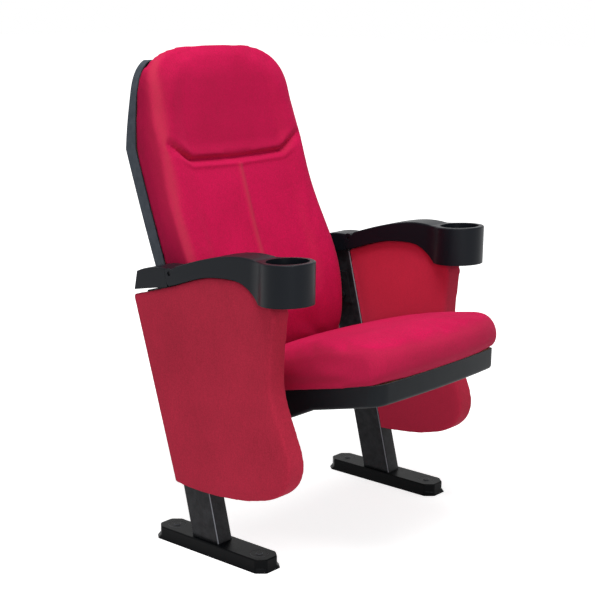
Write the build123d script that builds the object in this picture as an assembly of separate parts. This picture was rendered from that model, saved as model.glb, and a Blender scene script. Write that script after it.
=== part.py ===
from build123d import *
import os
from math import atan2, cos, degrees, hypot, radians, sin, sqrt

# Tip up auditorium seat for one sitter, on two side frames.
# Frame: the front is -Y, the sitter's left is +X, up is +Z. The origin is on the floor,
# at the centre of the four floor bolts. Millimetres throughout.

# ---------------------------------------------------------------- driving dimensions
SIDE_SPACING = 600.0        # between the mid-planes of the two side frames
RUNNING_GAP = 0.05          # radial clearance of a pin in its bore
SEAT_GAP = 0.3              # between pieces that lie against each other without a joint
FIT_GAP = 0.5               # round a piece that passes through another

# Foot
BOLT_SPACING = 239.0        # front to rear, between the floor bolts of one foot
BOLT_HOLE_R = 6.5
PLATE_T = 6.0
PLATE_END_ROOM = 8.5        # inside the cover, at each end of the plate
PLATE_SIDE_ROOM = 2.5       # inside the cover, along each side of the plate
COVER_LENGTH = 318.0        # over the skirt
COVER_WIDTH = 74.0
COVER_HEIGHT = 27.0
COVER_WALL = 3.0
COVER_CORNER = 18.0         # how far the foot's corners are cut back
SKIRT_HEIGHT = 8.0
SKIRT_FLARE = 4.5
PLUG_R = 19.0
PLUG_WALL = 2.5
PLUG_NUB_R = 7.0
PLUG_NUB_HEIGHT = 1.5

# Column: a flat oval tube that leans back
COLUMN_LEAN = 14.5          # degrees from upright, top to the rear
COLUMN_WIDTH = 44.0
COLUMN_DEPTH = 75.0
COLUMN_CORNER = 5.0
COLUMN_WALL = 3.0
COLUMN_FOOT_Y = 9.0         # its centre line where it stands on the foot plate
COLUMN_LENGTH = 558.0       # along the lean
CAP_T = 5.0                 # plate that closes the column's top
CUTTER_OVERRUN = 50.0       # how far a cutter runs past what it cuts

# Arm, cup and its hinge. Places of arm, block and panel are (Y, Z) from the arm pin's centre.
ARM_PIN_AHEAD = 40.7        # of the centre of the column's top
ARM_PIN_ABOVE = 42.8        # over the centre of the column's top
ARM_PIN_R = 5.0
PIN_SETBACK = 3.0           # of the pin's ends from the arm's sides
ARM_WIDTH = 66.0
KNUCKLE_R = 12.0
KNUCKLE_VALLEY = 40.0       # degrees above the forward line where the arm's top leaves the knuckle
TONGUE_T = 12.0
TONGUE_R = 11.0
TONGUE_ROOT_SETBACK = 6.0   # of the tongue's root from the column's front
CUP_FROM_PIN = (-294.0, 61.5)
CUP_R = 55.3
CUP_HOLE_R = 43.6
CUP_HEIGHT = 85.0
CUP_DEPTH = 76.0
CUP_TILT = 3.0              # degrees, front of the rim up
CUP_FLARE_R = 70.0          # where the arm's sides run out into the cup
ARM_EDGE_R = 3.5
ARM_EDGE_AHEAD = 30.0       # of the pin, where the rounding of the arm's top edges may begin
ARM_HEEL_R = 8.0            # rear lower corner, which sweeps over the panel as the arm rises
ARM_LIFT = 90.0             # degrees
ARM_TOP_SHAPE = [(-18.0, 17.5), (-87.0, 40.0), (-138.0, 53.0), (-193.0, 61.0)]
ARM_UNDER_SHAPE = [(5.0, -27.0), (-23.0, -19.0), (-60.0, -6.0), (-108.0, 7.0),
                   (-158.0, 12.0), (-203.0, 8.0), (-230.0, -7.0), (-254.0, -25.5)]

# Block behind the arm
BLOCK_TOP_SHAPE = [(54.0, 6.5), (97.0, -7.0)]
BLOCK_REAR_FOOT_FROM_PIN = (105.0, -48.0)
BLOCK_EDGE_R = 3.0

# Side panel: an upholstered pad on a thin steel backing, which takes in the column
PANEL_INNER_STEP = 1.0      # its inner face lies this far outside the column's
PANEL_THICKNESS = 51.0
PANEL_EDGE_R = 15.0
PANEL_REAR_EDGE_R = 8.0
PANEL_ARM_GAP = 2.0
PANEL_TOP_EDGE_R = 5.0
BACKING_T = 3.0
BACKING_MARGIN = 22.0
BACKING_SCREW_DROPS = (379.0, 249.0, 119.0)     # under the arm pin
PANEL_REAR_TOP_FROM_PIN = (114.0, -62.0)
PANEL_UNDER_BLOCK_FROM_PIN = (26.0, -36.0)
PANEL_CUP_CORNER_AHEAD = 276.0
PANEL_FRONT_SHAPE = [(-285.0, -44.0), (-283.0, -69.0), (-279.0, -109.0), (-276.5, -159.0), (-279.0, -204.0),
                     (-296.0, -256.0), (-318.0, -306.0), (-331.0, -351.0), (-323.0, -389.0), (-296.0, -418.0),
                     (-253.0, -436.0), (-203.0, -446.0), (-146.0, -452.5), (-88.0, -455.0)]
PANEL_REAR_FOOT_FROM_PIN = (-9.0, -450.0)

# Seat: hinge at the rear, under the cushion
SEAT_PIVOT_Y = -10.0
SEAT_PIVOT_Z = 305.0
SEAT_TIP = 70.0             # degrees
PIVOT_PIN_R = 8.0
PIVOT_PIN_LENGTH = 42.0     # from the pivot plate inwards
PIVOT_PLATE_T = 6.0
PIVOT_BOSS_R = 26.0
PIVOT_BOLT_HEIGHTS = (270.0, 352.0)
BUSH_WALL = 5.5
BUSH_LENGTH = 30.0
BUSH_FLANGE_R = 15.0
BUSH_FLANGE_T = 1.5
TUBE_WALL = 2.5
SPRING_WIRE = 3.5
SPRING_TURNS = 4
STOP_RADIUS = 31.0          # of the stop pin's slot, about the seat's pivot
STOP_PIN_R = 4.0
STOP_SLEEVE_R = 6.5
STOP_ANGLE = 60.0           # degrees above the rearward line, where the stop pin stands
STOP_PLATE_T = 5.0
STOP_PLATE_R = 44.0
PAN_SIDE_SETBACK = 14.0     # of the pan's sides from the cushion's
PAN_FRONT = -364.0
PAN_BOW = 14.0              # how far the front's ends lie behind its middle
PAN_CORNER_R = 34.0
PAN_WALL = 3.0
PAN_EDGE_R = 9.0
RIM_FRONT_Z = 416.0         # height of the pan's rim at its front
RIM_SLOPE = 0.225           # fall to the rear per millimetre
PAN_FRONT_HEIGHT = 45.0
PAN_REAR = 62.0
PAN_OVERRUN = 40.0          # how far the side view is drawn past the plan
PAN_BELLY = [(-181.0, 327.0), (-132.0, 303.0), (-80.0, 281.0), (-30.0, 268.0), (25.0, 270.0)]
PAN_REAR_RISE = 38.0
SEAT_BOARD_T = 12.0
RAIL_T = 6.0
RAIL_SHARE = 0.62           # of the pan's half width, where the rails stand
RAIL_FRONT_SETBACK = 60.0   # of the rails' front end from the pan's front
RAIL_FRONT_HEIGHT = 14.0
RAIL_HEEL_AHEAD = 34.0      # of the pivot
RAIL_HEEL_BEHIND = 30.0     # the pivot
RAIL_HEEL_DROP = 6.0        # under the pivot
SEAT_REAR = 68.0
SEAT_FRONT = -380.0
SEAT_SIDE_ROOM = 72.0       # from the cushion's side to its side frame's mid-plane
SEAT_BOW = 20.0
SEAT_SIDE_R = 34.0
SEAT_CORNER_R = 85.0        # from where the front starts to run back into the sides
SEAT_UNDERCUT = 24.0        # of the nose over the front of the flat underside
SEAT_NOSE_RISE = 30.0       # of the foremost point over the tray's rim
SEAT_CORNER_DEPTH = 22.0
SEAT_CROWN = 9.0
SEAT_TOP_FRONT = (-322.0, 498.0)
SEAT_TOP_REAR = (46.0, 392.0)
SEAT_TOP_BULGE = 8.0
SEAT_STATIONS = (0.0, 0.2, 0.4, 0.55, 0.67, 0.76, 0.83, 0.88, 0.92, 0.95, 0.975, 0.99, 1.0)

# Back: the rear face of its cushion, as (height, Y), then the cushion's stations
BACK_PLANE = [(346.0, 157.0), (520.0, 178.0), (823.0, 296.0), (935.0, 306.0), (1050.0, 306.0)]
SHELL_DEPTH = 29.0
SHELL_TOP_DEPTH = 18.0
SHELL_WALL = 3.0
SHELL_FOOT_Z = 350.0
SHELL_TOP_Z = 1013.0
SHELL_EDGE_R = 9.0
BACK_BOARD_T = 12.0
BACK_BOARD_MARGIN = 15.0
# height, room from the side to the side frame's mid-plane, front of the side bolsters,
# depth of the hollow between them
BACK_SHAPE = [(346.0, 66.0, 113.0, 4.0), (368.0, 54.0, 100.0, 9.0), (450.0, 50.0, 91.0, 19.0),
              (530.0, 48.0, 106.0, 26.0), (600.0, 47.0, 134.0, 27.0), (690.0, 48.0, 178.0, 15.0),
              (790.0, 51.0, 214.0, 13.0), (870.0, 56.0, 238.0, 14.0), (935.0, 65.0, 254.0, 13.0),
              (985.0, 79.0, 269.0, 9.0), (1010.0, 102.0, 280.0, 6.0), (1026.0, 133.0, 288.0, 4.0),
              (1036.0, 170.0, 293.0, 2.5), (1041.0, 212.0, 296.5, 1.2), (1043.0, 256.0, 299.0, 0.5)]
BACK_SIDE_R = 28.0
HOLLOW_SHARE = 0.6          # share of the half width that the even hollow takes
GROOVE_R = 6.5
GROOVE_ROUTE = [(92.0, 833.0), (152.0, 799.0)]     # room to the side frame's mid-plane, height
GROOVE_CENTRE_Z = 795.0
BRACKET_T = 5.0
BRACKET_DROP = 41.2         # of its upper end under the column's top
BRACKET_HEIGHT = 75.0
BRACKET_AHEAD = 22.0        # of the column's centre line
BRACKET_BOLT_INSET = 18.0   # from the bracket's ends
BRACKET_REACH = 90.0        # how far its inner leg passes behind the back board
BRACKET_BOLT_R = 5.0

# Fasteners
BOLT_R = 5.0
BOLT_HEAD_R = 8.5
BOLT_HEAD_T = 6.0
SCREW_R = 2.5
SCREW_HEAD_R = 5.5
SCREW_HEAD_T = 3.0
BOLT_PROUD = 6.0            # how far a bolt's end stands inside the column's wall

# ---------------------------------------------------------------- worked-out places
HALF = SIDE_SPACING / 2
LEAN_SIN = sin(radians(COLUMN_LEAN))
LEAN_COS = cos(radians(COLUMN_LEAN))
COLUMN_INNER_X = HALF - COLUMN_WIDTH / 2
COLUMN_OUTER_X = HALF + COLUMN_WIDTH / 2
PANEL_INNER_X = COLUMN_INNER_X + PANEL_INNER_STEP
PANEL_OUTER_X = PANEL_INNER_X + PANEL_THICKNESS
PLATE_LENGTH = COVER_LENGTH - 2 * (SKIRT_FLARE + COVER_WALL + PLATE_END_ROOM)
PLATE_WIDTH = COVER_WIDTH - 2 * (SKIRT_FLARE + COVER_WALL + PLATE_SIDE_ROOM)
COLUMN_TOP_Y = COLUMN_FOOT_Y + COLUMN_LENGTH * LEAN_SIN
COLUMN_TOP_Z = PLATE_T + COLUMN_LENGTH * LEAN_COS
ARM_PIN_Y = COLUMN_TOP_Y - ARM_PIN_AHEAD
ARM_PIN_Z = COLUMN_TOP_Z + ARM_PIN_ABOVE
BRACKET_TOP_Z = COLUMN_TOP_Z - BRACKET_DROP
BRACKET_FOOT_Z = BRACKET_TOP_Z - BRACKET_HEIGHT
SEAT_HALF_WIDTH = HALF - SEAT_SIDE_ROOM
PAN_HALF_WIDTH = SEAT_HALF_WIDTH - PAN_SIDE_SETBACK
BACK_STATIONS = [(z, HALF - room, bolster, hollow) for z, room, bolster, hollow in BACK_SHAPE]
PIVOT_PLATE_X = COLUMN_INNER_X - PIVOT_PLATE_T
PIVOT_PIN_END_X = PIVOT_PLATE_X - PIVOT_PIN_LENGTH
TUBE_INNER_R = PIVOT_PIN_R + RUNNING_GAP + BUSH_WALL
TUBE_OUTER_R = TUBE_INNER_R + TUBE_WALL
SPRING_LENGTH = SPRING_WIRE * (SPRING_TURNS + 1) + 1.0
TUBE_END_X = PIVOT_PLATE_X - SPRING_LENGTH - BUSH_FLANGE_T - 2 * SEAT_GAP
FAR = 1500.0                # longer than the seat is, for cuts that run right through
CUT_ALLOWANCE = 4.0         # how far a piece is drawn past a face before it is cut back to it


def from_pin(*places):
    """Places given from the arm pin's centre, as (Y, Z) on the seat."""
    return [(ARM_PIN_Y + y, ARM_PIN_Z + z) for y, z in places]


[(CUP_Y, CUP_RIM_Z)] = from_pin(CUP_FROM_PIN)
ARM_TOP = from_pin(*ARM_TOP_SHAPE)
ARM_UNDER = from_pin(*ARM_UNDER_SHAPE)
BLOCK_TOP = from_pin(*BLOCK_TOP_SHAPE)
[BLOCK_REAR_FOOT] = from_pin(BLOCK_REAR_FOOT_FROM_PIN)
[PANEL_REAR_TOP] = from_pin(PANEL_REAR_TOP_FROM_PIN)
[PANEL_UNDER_BLOCK] = from_pin(PANEL_UNDER_BLOCK_FROM_PIN)
PANEL_CUP_CORNER_Y = ARM_PIN_Y - PANEL_CUP_CORNER_AHEAD
PANEL_FRONT = from_pin(*PANEL_FRONT_SHAPE)
[PANEL_REAR_FOOT] = from_pin(PANEL_REAR_FOOT_FROM_PIN)


# ---------------------------------------------------------------- helpers
def side_slab(sketch, x_from, x_to):
    """A sketch drawn as (Y, Z), thickened from one X to another."""
    return extrude(Plane.YZ.offset(x_from) * sketch, amount=x_to - x_from)


def front_slab(sketch, y_from, y_to):
    """A sketch drawn as (X, Z), thickened from one Y to another."""
    plane = Plane(origin=(0, y_from, 0), x_dir=(-1, 0, 0), z_dir=(0, 1, 0))
    return extrude(plane * mirror(sketch, about=Plane.YZ), amount=y_to - y_from)


def top_slab(sketch, z_from, z_to):
    """A sketch drawn as (X, Y), thickened from one Z to another."""
    return extrude(Plane.XY.offset(z_from) * sketch, amount=z_to - z_from)


def polygon(points):
    """A closed face through corner points."""
    return make_face(Polyline(*points, close=True))


def inset(points, gap):
    """A closed face through corner points, drawn in by a gap all round."""
    return offset(polygon(points), -gap, kind=Kind.INTERSECTION)


def x_rod(radius, y, z, x_from, x_to):
    """A round rod that lies along X."""
    return side_slab(Pos(y, z) * Circle(radius), x_from, x_to)


def other_side(solid):
    """The same piece for the other side of the seat."""
    return mirror(solid, about=Plane.YZ)


def both_sides(solid):
    """A piece and its mirror image, as two solids of one node."""
    return Compound(children=[*solid.solids(), *other_side(solid).solids()])


def interpolate(table, at, column=1):
    """Read a column of a table of rising first values, straight between its rows."""
    rows = sorted(table)
    if at <= rows[0][0]:
        return rows[0][column]
    for low, high in zip(rows, rows[1:]):
        if at <= high[0]:
            share = (at - low[0]) / (high[0] - low[0])
            return low[column] + share * (high[column] - low[column])
    return rows[-1][column]


def shifted(points, gap):
    """An open outline moved sideways by a gap, to the left of its direction of travel."""
    moved = []
    for i, (y, z) in enumerate(points):
        before = points[max(i - 1, 0)]
        after = points[min(i + 1, len(points) - 1)]
        run = hypot(after[0] - before[0], after[1] - before[1])
        moved.append((y - gap * (after[1] - before[1]) / run, z + gap * (after[0] - before[0]) / run))
    return moved


# ---------------------------------------------------------------- foot
def foot_outline(length, width, corner):
    """The foot's plan: a bar with cut and rounded corners."""
    a, b = length / 2, width / 2
    points = [(b, -a + corner), (b, a - corner), (b - corner * 0.9, a), (-b + corner * 0.9, a),
              (-b, a - corner), (-b, -a + corner), (-b + corner * 0.9, -a), (b - corner * 0.9, -a)]
    face = polygon(points)
    return Pos(HALF, 0) * fillet(face.vertices(), corner * 0.5)


def bolt_places():
    """The two floor bolt centres of the left foot."""
    return [(HALF, side * BOLT_SPACING / 2) for side in (-1, 1)]


def foot_plate():
    """Steel plate under the column, with the floor bolt holes."""
    plate = top_slab(foot_outline(PLATE_LENGTH, PLATE_WIDTH, COVER_CORNER * 0.8), 0, PLATE_T)
    for x, y in bolt_places():
        plate -= Pos(x, y, PLATE_T / 2) * Cylinder(BOLT_HOLE_R, 3 * PLATE_T)
    return plate


def cover_form(wall):
    """The foot cover's outside, or its inside when a wall is given."""
    skirt = foot_outline(COVER_LENGTH - 2 * wall, COVER_WIDTH - 2 * wall, COVER_CORNER)
    neck_length = COVER_LENGTH - 2 * SKIRT_FLARE - 2 * wall
    neck = foot_outline(neck_length, COVER_WIDTH - 2 * SKIRT_FLARE - 2 * wall, COVER_CORNER)
    low = loft([skirt, Plane.XY.offset(SKIRT_HEIGHT - wall * 0.5) * neck])
    high = top_slab(neck, SKIRT_HEIGHT - wall * 0.5, COVER_HEIGHT - wall)
    return low + high


def foot_cover():
    """Moulded cover over the plate, open to the floor, with holes for column and plugs."""
    body = cover_form(0)
    top_edges = body.faces().sort_by(Axis.Z)[-1].edges()
    body = fillet(top_edges, COVER_WALL)
    body -= cover_form(COVER_WALL)
    body -= column_bar(FIT_GAP, 0, 3 * COVER_HEIGHT)
    for x, y in bolt_places():
        body -= Pos(x, y, COVER_HEIGHT) * Cylinder(PLUG_R + SEAT_GAP, COVER_HEIGHT)
    return body


def foot_plug(x, y):
    """Round plug over a bolt: a lid with a nub, on a sleeve that stands on the plate."""
    height = COVER_HEIGHT - PLATE_T
    plug = Pos(x, y, PLATE_T + height / 2) * Cylinder(PLUG_R, height)
    room = height - PLUG_WALL
    plug -= Pos(x, y, PLATE_T + room / 2) * Cylinder(PLUG_R - PLUG_WALL, room)
    nub = Pos(x, y, COVER_HEIGHT) * Cylinder(PLUG_NUB_R, 2 * PLUG_NUB_HEIGHT)
    return plug + nub


# ---------------------------------------------------------------- column
def column_plane(along=0.0):
    """The column's own plane: local x is X, local y is square to the lean and rearward."""
    plane = Plane(origin=(HALF, COLUMN_FOOT_Y, PLATE_T), x_dir=(1, 0, 0), z_dir=(0, LEAN_SIN, LEAN_COS))
    return plane.offset(along)


def column_bar(grow, start, end):
    """A bar on the column's section, grown all round, between two places along the lean."""
    section = RectangleRounded(COLUMN_WIDTH + 2 * grow, COLUMN_DEPTH + 2 * grow, COLUMN_CORNER + grow)
    return extrude(column_plane(start) * section, amount=end - start)


def column_centre_y(z):
    """Y of the column's centre line at a height."""
    return COLUMN_FOOT_Y + (z - PLATE_T) * LEAN_SIN / LEAN_COS


def below(z):
    """Everything under a height."""
    return Pos(0, 0, z - FAR / 2) * Box(FAR, FAR, FAR)


def leg_column():
    """The tube itself, welded to the plate and open at its ends."""
    tube = column_bar(0, -COLUMN_DEPTH, COLUMN_LENGTH) - column_bar(-COLUMN_WALL, -FAR, FAR)
    tube -= below(PLATE_T)
    for z in PIVOT_BOLT_HEIGHTS:
        tube -= x_rod(BOLT_R + SEAT_GAP, column_centre_y(z), z, COLUMN_INNER_X - 1, HALF)
    for z in bracket_bolt_heights():
        tube -= x_rod(BRACKET_BOLT_R + SEAT_GAP, column_centre_y(z), z, COLUMN_INNER_X - 1, HALF)
    for y, z in backing_screw_places():
        tube -= x_rod(SCREW_R, y, z, HALF, COLUMN_OUTER_X + 1)
    return tube


def column_cap_point(across):
    """(Y, Z) on the cap's upper face, at a distance behind the column's centre line."""
    along = COLUMN_LENGTH + CAP_T
    y = COLUMN_FOOT_Y + along * LEAN_SIN + across * LEAN_COS
    z = PLATE_T + along * LEAN_COS - across * LEAN_SIN
    return y, z


def tongue_outline(grow):
    """The tongue's side view: from the column's cap to the round end at the arm pin."""
    root_front = column_cap_point(-COLUMN_DEPTH / 2 + TONGUE_ROOT_SETBACK - grow)
    root_rear = column_cap_point(COLUMN_DEPTH / 4 + grow)
    head = Pos(ARM_PIN_Y, ARM_PIN_Z) * Circle(TONGUE_R + grow)
    top = (ARM_PIN_Y + 4, ARM_PIN_Z + (TONGUE_R + grow) * 0.9)
    low = (ARM_PIN_Y, ARM_PIN_Z - TONGUE_R - grow)
    return head + polygon([low, root_front, root_rear, (root_rear[0] - 8, root_rear[1] + 22), top])


def column_cap():
    """Cap plate with the upright tongue that carries the arm pin."""
    cap = column_bar(0, COLUMN_LENGTH, COLUMN_LENGTH + CAP_T)
    tongue = side_slab(tongue_outline(0), HALF - TONGUE_T / 2, HALF + TONGUE_T / 2)
    bore = x_rod(ARM_PIN_R + RUNNING_GAP, ARM_PIN_Y, ARM_PIN_Z, HALF - ARM_WIDTH, HALF + ARM_WIDTH)
    return cap + tongue - bore


# ---------------------------------------------------------------- arm
def rim_z(y):
    """Height of the cup's rim plane at a Y."""
    return CUP_RIM_Z + (CUP_Y - y) * sin(radians(CUP_TILT)) / cos(radians(CUP_TILT))


def cup_axis_plane(drop=0.0):
    """Plane square to the cup's axis, a distance under its rim."""
    tilt = radians(CUP_TILT)
    plane = Plane(origin=(HALF, CUP_Y, CUP_RIM_Z), x_dir=(1, 0, 0), z_dir=(0, sin(tilt), cos(tilt)))
    return plane.offset(-drop)


def knuckle_point(angle, radius=KNUCKLE_R):
    """A point round the arm pin, at an angle above the forward line."""
    return (ARM_PIN_Y - radius * cos(radians(angle)), ARM_PIN_Z + radius * sin(radians(angle)))


def arm_profile():
    """The arm's side view, from the knuckle to the front of the cup."""
    front_y = CUP_Y - CUP_R
    rear_y = CUP_Y + CUP_R
    bottom_front = (front_y, rim_z(front_y) - CUP_HEIGHT)
    heel = ARM_UNDER[0]
    edges = [
        ThreePointArc(knuckle_point(180), knuckle_point(110), knuckle_point(KNUCKLE_VALLEY)),
        Line(knuckle_point(KNUCKLE_VALLEY), ARM_TOP[0]),
        Spline(*ARM_TOP, (rear_y, rim_z(rear_y))),
        Line((rear_y, rim_z(rear_y)), (front_y, rim_z(front_y))),
        Line((front_y, rim_z(front_y)), bottom_front),
        Line(bottom_front, ARM_UNDER[-1]),
        Spline(*reversed(ARM_UNDER)),
        Line(heel, knuckle_point(180)),
    ]
    side = make_face(edges)
    heel_corner = [v for v in side.vertices() if (Vector(v.X, v.Y) - Vector(*heel)).length < 0.1]
    return fillet(heel_corner, ARM_HEEL_R)


def arm_plan():
    """The arm's top view: a straight strip that runs out into the round cup."""
    strip_front = CUP_Y
    strip_rear = ARM_PIN_Y + 2 * KNUCKLE_R
    strip = Pos(HALF, (strip_front + strip_rear) / 2) * Rectangle(ARM_WIDTH, strip_rear - strip_front)
    plan = strip + Pos(HALF, CUP_Y) * Circle(CUP_R)
    corners = [v for v in plan.vertices() if CUP_Y < v.Y < ARM_PIN_Y - KNUCKLE_R]
    return fillet(corners, CUP_FLARE_R)


def arm():
    """One moulded arm with its cup, its knuckle slotted for the tongue."""
    body = side_slab(arm_profile(), HALF - ARM_WIDTH, HALF + ARM_WIDTH)
    body &= top_slab(arm_plan(), 0, FAR)
    body = body.solids()[0]
    hole = extrude(cup_axis_plane(-10) * Circle(CUP_HOLE_R), amount=-CUP_DEPTH - 10)
    upper = [e for e in body.edges()
             if e.center().Z > rim_z(e.center().Y) - 12 and e.center().Y < ARM_PIN_Y - ARM_EDGE_AHEAD]
    body = fillet_if_possible(body, upper, ARM_EDGE_R)
    body -= hole
    half_slot = TONGUE_T / 2 + FIT_GAP
    slot_front = ARM_PIN_Y - TONGUE_R - FIT_GAP
    slot_height = 2 * (ARM_PIN_Z - ARM_UNDER[0][1] + KNUCKLE_R)
    slot_reach = 4 * KNUCKLE_R
    slot = Pos(HALF, slot_front + slot_reach / 2, ARM_PIN_Z) * Box(2 * half_slot, slot_reach, slot_height)
    body -= slot
    body -= x_rod(ARM_PIN_R, ARM_PIN_Y, ARM_PIN_Z, HALF - ARM_WIDTH, HALF + ARM_WIDTH)
    return body


def fillet_if_possible(body, edges, radius):
    """Round edges by as much as the body allows, up to a radius."""
    for share in (1.0, 0.7, 0.4):
        try:
            return fillet(edges, radius * share)
        except Exception:
            continue
    return body


def arm_pin():
    """Hinge pin, a little shorter than the arm is wide."""
    reach = ARM_WIDTH / 2 - PIN_SETBACK
    return x_rod(ARM_PIN_R, ARM_PIN_Y, ARM_PIN_Z, HALF - reach, HALF + reach)


def arm_block():
    """Moulded block behind the arm, over the column's cap and round the tongue."""
    clear_r = KNUCKLE_R + FIT_GAP
    top_front = knuckle_point(134, clear_r)
    mid_front = knuckle_point(157, clear_r)
    low_front = knuckle_point(180, clear_r)
    heel = (ARM_UNDER[0][0] + FIT_GAP, ARM_UNDER[0][1])
    cap_front = column_cap_point(-COLUMN_DEPTH / 2)
    edges = [
        ThreePointArc(top_front, mid_front, low_front),
        Line(low_front, heel),
        Line(heel, cap_front),
        Line(cap_front, BLOCK_REAR_FOOT),
        Line(BLOCK_REAR_FOOT, BLOCK_TOP[1]),
        ThreePointArc(BLOCK_TOP[1], BLOCK_TOP[0], top_front),
    ]
    body = side_slab(make_face(edges), HALF - ARM_WIDTH / 2, HALF + ARM_WIDTH / 2)
    long_edges = [e for e in body.edges() if abs(abs(e.center().X - HALF) - ARM_WIDTH / 2) < 0.1
                  and e.center().Y > ARM_PIN_Y + 2 * KNUCKLE_R and e.center().Z > column_cap_point(0)[1] + 4]
    body = fillet_if_possible(body, long_edges, BLOCK_EDGE_R)
    body -= column_bar(0, 0, COLUMN_LENGTH + CAP_T)
    half_slot = TONGUE_T / 2 + SEAT_GAP
    body -= side_slab(tongue_outline(SEAT_GAP), HALF - half_slot, HALF + half_slot)
    return body


# ---------------------------------------------------------------- side panel
def panel_top():
    """The panel's top line, which follows the arm's underside and the cup's at an even gap."""
    under = shifted(ARM_UNDER, PANEL_ARM_GAP)
    cup_low = rim_z(PANEL_CUP_CORNER_Y) - CUP_HEIGHT - PANEL_ARM_GAP
    return under[1:], (PANEL_CUP_CORNER_Y, cup_low)


def panel_outline():
    """The panel's side view: under block, arm and cup, then the waisted front and round foot."""
    under, cup_corner = panel_top()
    edges = [
        Line(PANEL_REAR_TOP, PANEL_UNDER_BLOCK),
        Line(PANEL_UNDER_BLOCK, under[0]),
        Spline(*under),
        Line(under[-1], cup_corner),
        Line(cup_corner, PANEL_FRONT[0]),
        Spline(*PANEL_FRONT, PANEL_REAR_FOOT),
        Line(PANEL_REAR_FOOT, PANEL_REAR_TOP),
    ]
    return make_face(edges)


def behind_column_front():
    """All of space behind the column's front face."""
    return extrude(column_plane(-FAR) * (Pos(0, (FAR - COLUMN_DEPTH) / 2) * Rectangle(FAR, FAR)), amount=2 * FAR)


def inside_of(x):
    """All of space between the seat's middle and an X on its left."""
    return Pos(x - FAR / 2, 0, 0) * Box(FAR, FAR, 2 * FAR)


def backing_screw_places():
    """(Y, Z) of the screws that hold the panel's backing to the column."""
    return [(column_centre_y(ARM_PIN_Z - drop), ARM_PIN_Z - drop) for drop in BACKING_SCREW_DROPS]


def panel_backing():
    """Steel sheet screwed flat against the column's outer face."""
    under, cup_corner = panel_top()
    corners = [PANEL_REAR_TOP, PANEL_UNDER_BLOCK, *under, cup_corner, *PANEL_FRONT, PANEL_REAR_FOOT]
    sheet = side_slab(inset(corners, BACKING_MARGIN), COLUMN_OUTER_X, COLUMN_OUTER_X + BACKING_T)
    for y, z in backing_screw_places():
        sheet -= x_rod(SCREW_R + SEAT_GAP, y, z, HALF, HALF + COLUMN_WIDTH)
    return sheet


def panel_pad():
    """Upholstered pad round the backing; behind the column only its outer half goes on."""
    body = side_slab(panel_outline(), PANEL_INNER_X, PANEL_OUTER_X)
    def at(edge):
        """Which part of the rim an edge belongs to."""
        place = edge.center()
        if place.Y > PANEL_REAR_FOOT[0] + 20 and place.Z < PANEL_REAR_TOP[1] - 20:
            return "rear"
        return "top" if place.Z > PANEL_FRONT[0][1] - 1 else "front"

    middle = (PANEL_INNER_X + PANEL_OUTER_X) / 2
    for part, radius in (("rear", PANEL_REAR_EDGE_R), ("top", PANEL_TOP_EDGE_R), ("front", PANEL_EDGE_R)):
        rims = [e for e in body.edges() if abs(abs(e.center().X - middle) - PANEL_THICKNESS / 2) < 0.1
                and at(e) == part]
        body = fillet_if_possible(body, rims, radius)
    body -= behind_column_front() & inside_of(HALF)
    body -= column_bar(0, -FAR, FAR)
    for y, z in backing_screw_places():
        body -= x_rod(SCREW_R + SEAT_GAP, y, z, HALF, COLUMN_OUTER_X + BACKING_T)
    return body - panel_backing() - backing_screws()


# ---------------------------------------------------------------- seat hinge
def pivot_plate():
    """Plate on the column's inner face that carries the seat's pivot pin and stop pin."""
    places = [(SEAT_PIVOT_Y, SEAT_PIVOT_Z, PIVOT_BOSS_R), (*stop_place(), STOP_SLEEVE_R + 4)]
    places += [(column_centre_y(z), z, 2 * BOLT_HEAD_R) for z in PIVOT_BOLT_HEIGHTS]
    rings = [Pos(y, z) * CenterArc((0, 0), r, 0, 360) for y, z, r in places]
    outline = make_face(make_hull(rings).edges())
    plate = side_slab(outline, PIVOT_PLATE_X, COLUMN_INNER_X)
    for z in PIVOT_BOLT_HEIGHTS:
        plate -= x_rod(BOLT_R + SEAT_GAP, column_centre_y(z), z, PIVOT_PLATE_X - 1, HALF)
    return plate


def stop_place():
    """(Y, Z) of the stop pin, on an arc round the seat's pivot."""
    angle = radians(STOP_ANGLE)
    return SEAT_PIVOT_Y + STOP_RADIUS * cos(angle), SEAT_PIVOT_Z + STOP_RADIUS * sin(angle)


def pivot_pin():
    """Stub pin welded into the pivot plate; the seat's bush turns on it."""
    return x_rod(PIVOT_PIN_R, SEAT_PIVOT_Y, SEAT_PIVOT_Z, PIVOT_PIN_END_X, PIVOT_PLATE_X)


def stop_pin():
    """Stop pin with its head end on the pivot plate."""
    y, z = stop_place()
    return x_rod(STOP_PIN_R, y, z, TUBE_END_X - STOP_PLATE_T - 2, PIVOT_PLATE_X)


def stop_sleeve():
    """Rubber sleeve on the stop pin, which the slot's ends meet."""
    y, z = stop_place()
    x_from, x_to = TUBE_END_X - STOP_PLATE_T - 2, TUBE_END_X + 2
    return x_rod(STOP_SLEEVE_R, y, z, x_from, x_to) - x_rod(STOP_PIN_R, y, z, x_from - 1, x_to + 1)


def cross_tube():
    """Tube across the seat on its pivot axis."""
    tube = x_rod(TUBE_OUTER_R, SEAT_PIVOT_Y, SEAT_PIVOT_Z, -TUBE_END_X, TUBE_END_X)
    return tube - x_rod(TUBE_INNER_R, SEAT_PIVOT_Y, SEAT_PIVOT_Z, -FAR, FAR)


def hinge_bush():
    """Flanged plastic bush in the end of the cross tube."""
    y, z = SEAT_PIVOT_Y, SEAT_PIVOT_Z
    bush = x_rod(TUBE_INNER_R, y, z, TUBE_END_X - BUSH_LENGTH, TUBE_END_X)
    bush += x_rod(BUSH_FLANGE_R, y, z, TUBE_END_X, TUBE_END_X + BUSH_FLANGE_T)
    return bush - x_rod(PIVOT_PIN_R + RUNNING_GAP, y, z, 0, HALF)


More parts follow.
